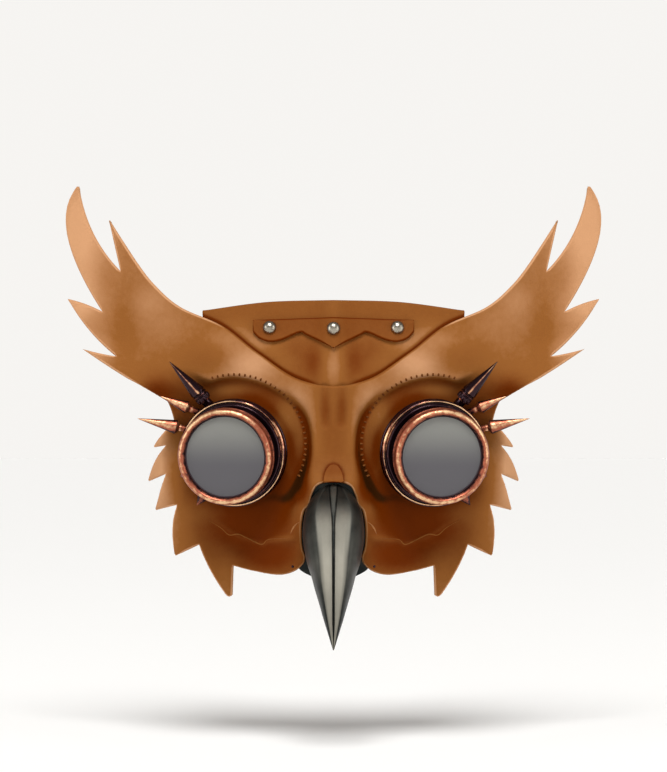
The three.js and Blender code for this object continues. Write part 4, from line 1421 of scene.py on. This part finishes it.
class OWLMASK_OT_bezels(bpy.types.Operator):
    """Turns the front ring of each eyepiece"""

    bl_idname = "owl_mask.bezels"
    bl_label = "Bezels"

    def execute(self, context):
        sizes = context.scene.owl_mask_sizes
        copper = [finish(antique_copper_plate)]
        for hand, side in SIDES.items():
            bm = worn_and_lit_ring(bezel_profile, sizes.turned_segments, eased["bezel"], bezel_worn, side)
            seat_in_eye(bm, side)
            make_piece(f"turned_bezel_{hand}", bm, copper, [f"bezel_{hand}"], metal_sharp)
        return {"FINISHED"}


class OWLMASK_OT_lenses(bpy.types.Operator):
    """Turns each smoked lens and the rubber gasket in front of it"""

    bl_idname = "owl_mask.lenses"
    bl_label = "Lenses"

    def execute(self, context):
        sizes = context.scene.owl_mask_sizes
        glass = [finish(polished_smoked_glass)]
        for hand, side in SIDES.items():
            bm = turned(lens_profile, sizes.turned_segments, eased["lens"], closed=False)
            seat_in_eye(bm, side)
            make_piece(f"smoked_lens_{hand}", bm, glass, [f"lens_{hand}"], metal_sharp)
            bm = turned(gasket_profile, sizes.turned_segments, eased["gasket"])
            seat_in_eye(bm, side)
            make_piece(f"lens_gasket_{hand}", bm, [finish(black_rubber)])
        return {"FINISHED"}


def spike_profile(rows, neck, collar, cone, root):
    """Profile of a spike, whose neck reaches back into the rim."""
    foot = neck[1] + collar[1]
    radii = {"neck": neck[0], "collar": collar[0], "cone": cone[0]}
    lengths = {
        "neck": (0, neck[1]),
        "collar": (neck[1], collar[1]),
        "foot": (0, foot),
        "cone": (foot, cone[1]),
    }
    profile = [(0, -root), (neck[0], -root)]
    for radius, radius_share, length, length_share in rows:
        start, run = lengths[length]
        profile.append((radii[radius] * radius_share, start + run * length_share))
    return profile


class OWLMASK_OT_spikes(bpy.types.Operator):
    """Turns the spikes and screws them into the rim of each eyepiece's flange"""

    bl_idname = "owl_mask.spikes"
    bl_label = "Spikes"

    def execute(self, context):
        sizes = context.scene.owl_mask_sizes
        for hand, side in SIDES.items():
            for row in spike_rows:
                self.make_spike(sizes, hand, side, row)
        return {"FINISHED"}

    def make_spike(self, sizes, hand, side, row):
        name, angle, lean, sweep, neck, collar, cone = row
        dark = name == dark_spike
        foot = neck[1] + collar[1]
        long = cone[1] > long_cone
        shouldered = long and not dark
        rows = shouldered_spike if shouldered else collared_spike
        profile = spike_profile(rows, neck, collar, cone, neck_root if long else 0)
        bm = turned(profile, sizes.turned_segments // 2, eased["spike"], closed=False)
        if shouldered:
            reach = cone[1] * cone_worn["reach"]
            radius = cone[0] * cone_worn["radius"]
            worn = [(radius, foot + cone[1] * at, reach, cone_worn["amount"]) for at in cone_worn["places"]]
            worn.append((neck[0], foot * neck_worn["place"], neck_worn["reach"], neck_worn["amount"]))
        else:
            worn = [(collar[0], neck[1] + collar[1] * at, reach, amount) for at, reach, amount in collar_worn]
        mark_wear_and_light(bm, worn)
        if dark:
            self.flute(bm, neck[1], neck[1] + collar[1] * flutes["end"], sizes.collar_flutes)
        placed = self.placed_on_rim(side, angle, lean, sweep, neck[0])
        self.paint_front_light(bm, placed, foot, dark)
        bmesh.ops.transform(bm, matrix=placed, verts=bm.verts)
        material = finish(dark_patina_copper if dark else antique_copper_plate)
        node = f"{name}_{hand}"
        make_piece(f"turned_{node}", bm, [material], [node], metal_sharp)

    def flute(self, bm, low, high, count):
        """Cuts flutes into the collar between two heights."""
        for vert in bm.verts:
            if low < vert.co.z < high:
                swell = 1 - flutes["depth"] / 2 * (1 - math.cos(turn_from(vert, 0) * count))
                vert.co.x *= swell
                vert.co.y *= swell

    def placed_on_rim(self, side, angle, lean, sweep, neck_radius):
        """The place of a spike on the flange's rim, clear of it by the seat's gap."""
        around = math.radians(angle)
        radial = Vector((side * math.cos(around), 0, math.sin(around)))
        along_rim = Vector((side * math.sin(around), 0, -math.cos(around)))
        forward = Vector((0, -math.tan(math.radians(lean)), 0))
        direction = (radial + along_rim * math.tan(math.radians(sweep)) + forward).normalized()
        stand_off = seat_gap + neck_radius * math.sin(radial.angle(direction))
        place = radial * (flange_radius + stand_off) - Vector((0, spike_axial, 0))
        return eye_frame(side) @ pointing(place, direction)

    def paint_front_light(self, bm, placed, foot, dark):
        """Keeps a cone's rubbing to its front as a painted highlight, with painted shade down its sides, or
        paints one highlight line along the front of a dark cone.
        """
        wear_and_light = bm.verts.layers.float["wear_and_light"]
        front = placed.to_3x3().inverted() @ Vector((0, -1, 0))
        middle = math.atan2(front.y, front.x)
        for vert in bm.verts:
            if vert.co.z > foot:
                turn = turn_from(vert, middle)
                if dark:
                    vert[wear_and_light] = spike_highlight_line["amount"] * bell(turn / spike_highlight_line["width"])
                else:
                    vert[wear_and_light] = lerp(spike_side_shade, vert[wear_and_light], bell(turn / spike_lit_width))


class OWLMASK_OT_stage(bpy.types.Operator):
    """Adds the pale floor, the soft studio lights and the camera"""

    bl_idname = "owl_mask.stage"
    bl_label = "Stage"

    def execute(self, context):
        scene = context.scene
        sizes = scene.owl_mask_sizes
        self.add_floor(scene, sizes)
        self.add_walls(scene)
        self.add_top_light(scene)
        for hand, side in SIDES.items():
            self.add_side_light(scene, f"{hand}_light", side)
        self.add_camera(scene, sizes)
        scene.view_settings.view_transform = "Standard"
        return {"FINISHED"}

    def add_floor(self, scene, sizes):
        bm = bmesh.new()
        bmesh.ops.create_grid(bm, x_segments=2, y_segments=2, size=floor_size / 2)
        tip_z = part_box("beak")[0][2]
        bmesh.ops.translate(bm, vec=(0, 0, tip_z - sizes.floor_drop), verts=bm.verts)
        mesh = bpy.data.meshes.new("studio_floor")
        bm.to_mesh(mesh)
        bm.free()
        mesh.materials.append(finish(painted_floor))
        floor = bpy.data.objects.new("studio_floor", mesh)
        scene.collection.objects.link(floor)

    def add_walls(self, scene):
        """Pale walls all round, bright low down and dim above."""
        world = bpy.data.worlds.new("studio_walls")
        world.use_nodes = True
        tree = world.node_tree
        tree.nodes.clear()
        place = add(tree, "TexCoord", {}, "Generated")
        height = add(tree, "SeparateXYZ", {"Vector": place}, "Z")
        heights = {LOW: walls["low"], HIGH: walls["high"]}
        lights = {TO_LOW: walls["low_light"], TO_HIGH: walls["high_light"]}
        light = add(tree, "MapRange", {"Value": height, **heights, **lights})
        paint = add(tree, "Background", {"Color": linear(walls["colour"]), "Strength": light})
        add(tree, "OutputWorld", {"Surface": paint})
        scene.world = world

    def add_top_light(self, scene):
        lamp = bpy.data.lights.new("top_light", "SUN")
        lamp.energy = top_light["energy"]
        lamp.angle = top_light["angle"]
        light = bpy.data.objects.new("top_light", lamp)
        light.rotation_euler = (top_light["tilt"], 0, 0)
        scene.collection.objects.link(light)

    def add_side_light(self, scene, name, side):
        lamp = bpy.data.lights.new(name, "AREA")
        lamp.shape = "RECTANGLE"
        lamp.size = side_light["width"]
        lamp.size_y = side_light["height"]
        lamp.energy = side_light["energy"]
        light = bpy.data.objects.new(name, lamp)
        out, y, z = side_light["place"]
        light.location = (side * out, y, z)
        aim = Vector(side_light["aim"]) - light.location
        light.rotation_euler = aim.to_track_quat("-Z", "Y").to_euler()
        scene.collection.objects.link(light)

    def add_camera(self, scene, sizes):
        data = bpy.data.cameras.new("portrait_camera")
        data.lens = data.sensor_width * sizes.camera_distance / (photo_height_px * mm_per_px * MM)
        data.clip_end = view_end
        camera = bpy.data.objects.new("portrait_camera", data)
        camera.location = (0, -sizes.camera_distance, picture_middle_z)
        camera.rotation_euler = (math.radians(90), 0, 0)
        scene.collection.objects.link(camera)
        scene.camera = camera


class OWLMASK_PT_panel(bpy.types.Panel):
    """Lists the steps that build the mask"""

    bl_idname = "OWLMASK_PT_panel"
    bl_label = "Owl mask"
    bl_space_type = "VIEW_3D"
    bl_region_type = "UI"
    bl_category = "Owl mask"

    def draw(self, context):
        for group in (context.scene.owl_mask_sizes, context.scene.owl_mask_colours):
            box = self.layout.box()
            for name in group.__annotations__:
                box.prop(group, name)
        for operator in OPERATORS:
            self.layout.operator(operator.bl_idname)


OPERATORS = (
    OWLMASK_OT_face_leather,
    OWLMASK_OT_socket_stitches,
    OWLMASK_OT_leather_panels,
    OWLMASK_OT_lip_details,
    OWLMASK_OT_dome_studs,
    OWLMASK_OT_beak,
    OWLMASK_OT_eye_cups,
    OWLMASK_OT_bezels,
    OWLMASK_OT_lenses,
    OWLMASK_OT_spikes,
    OWLMASK_OT_stage,
)
CLASSES = (OwlMaskSizes, OwlMaskColours, *OPERATORS, OWLMASK_PT_panel)


def register():
    for cls in CLASSES:
        bpy.utils.register_class(cls)
    bpy.types.Scene.owl_mask_sizes = bpy.props.PointerProperty(type=OwlMaskSizes)
    bpy.types.Scene.owl_mask_colours = bpy.props.PointerProperty(type=OwlMaskColours)


def unregister():
    del bpy.types.Scene.owl_mask_colours
    del bpy.types.Scene.owl_mask_sizes
    for cls in reversed(CLASSES):
        bpy.utils.unregister_class(cls)


def main():
    register()
    bpy.ops.owl_mask.face_leather()
    bpy.ops.owl_mask.socket_stitches()
    bpy.ops.owl_mask.leather_panels()
    bpy.ops.owl_mask.lip_details()
    bpy.ops.owl_mask.dome_studs()
    bpy.ops.owl_mask.beak()
    bpy.ops.owl_mask.eye_cups()
    bpy.ops.owl_mask.bezels()
    bpy.ops.owl_mask.lenses()
    bpy.ops.owl_mask.spikes()
    bpy.ops.owl_mask.stage()


if __name__ == "__main__":
    main()
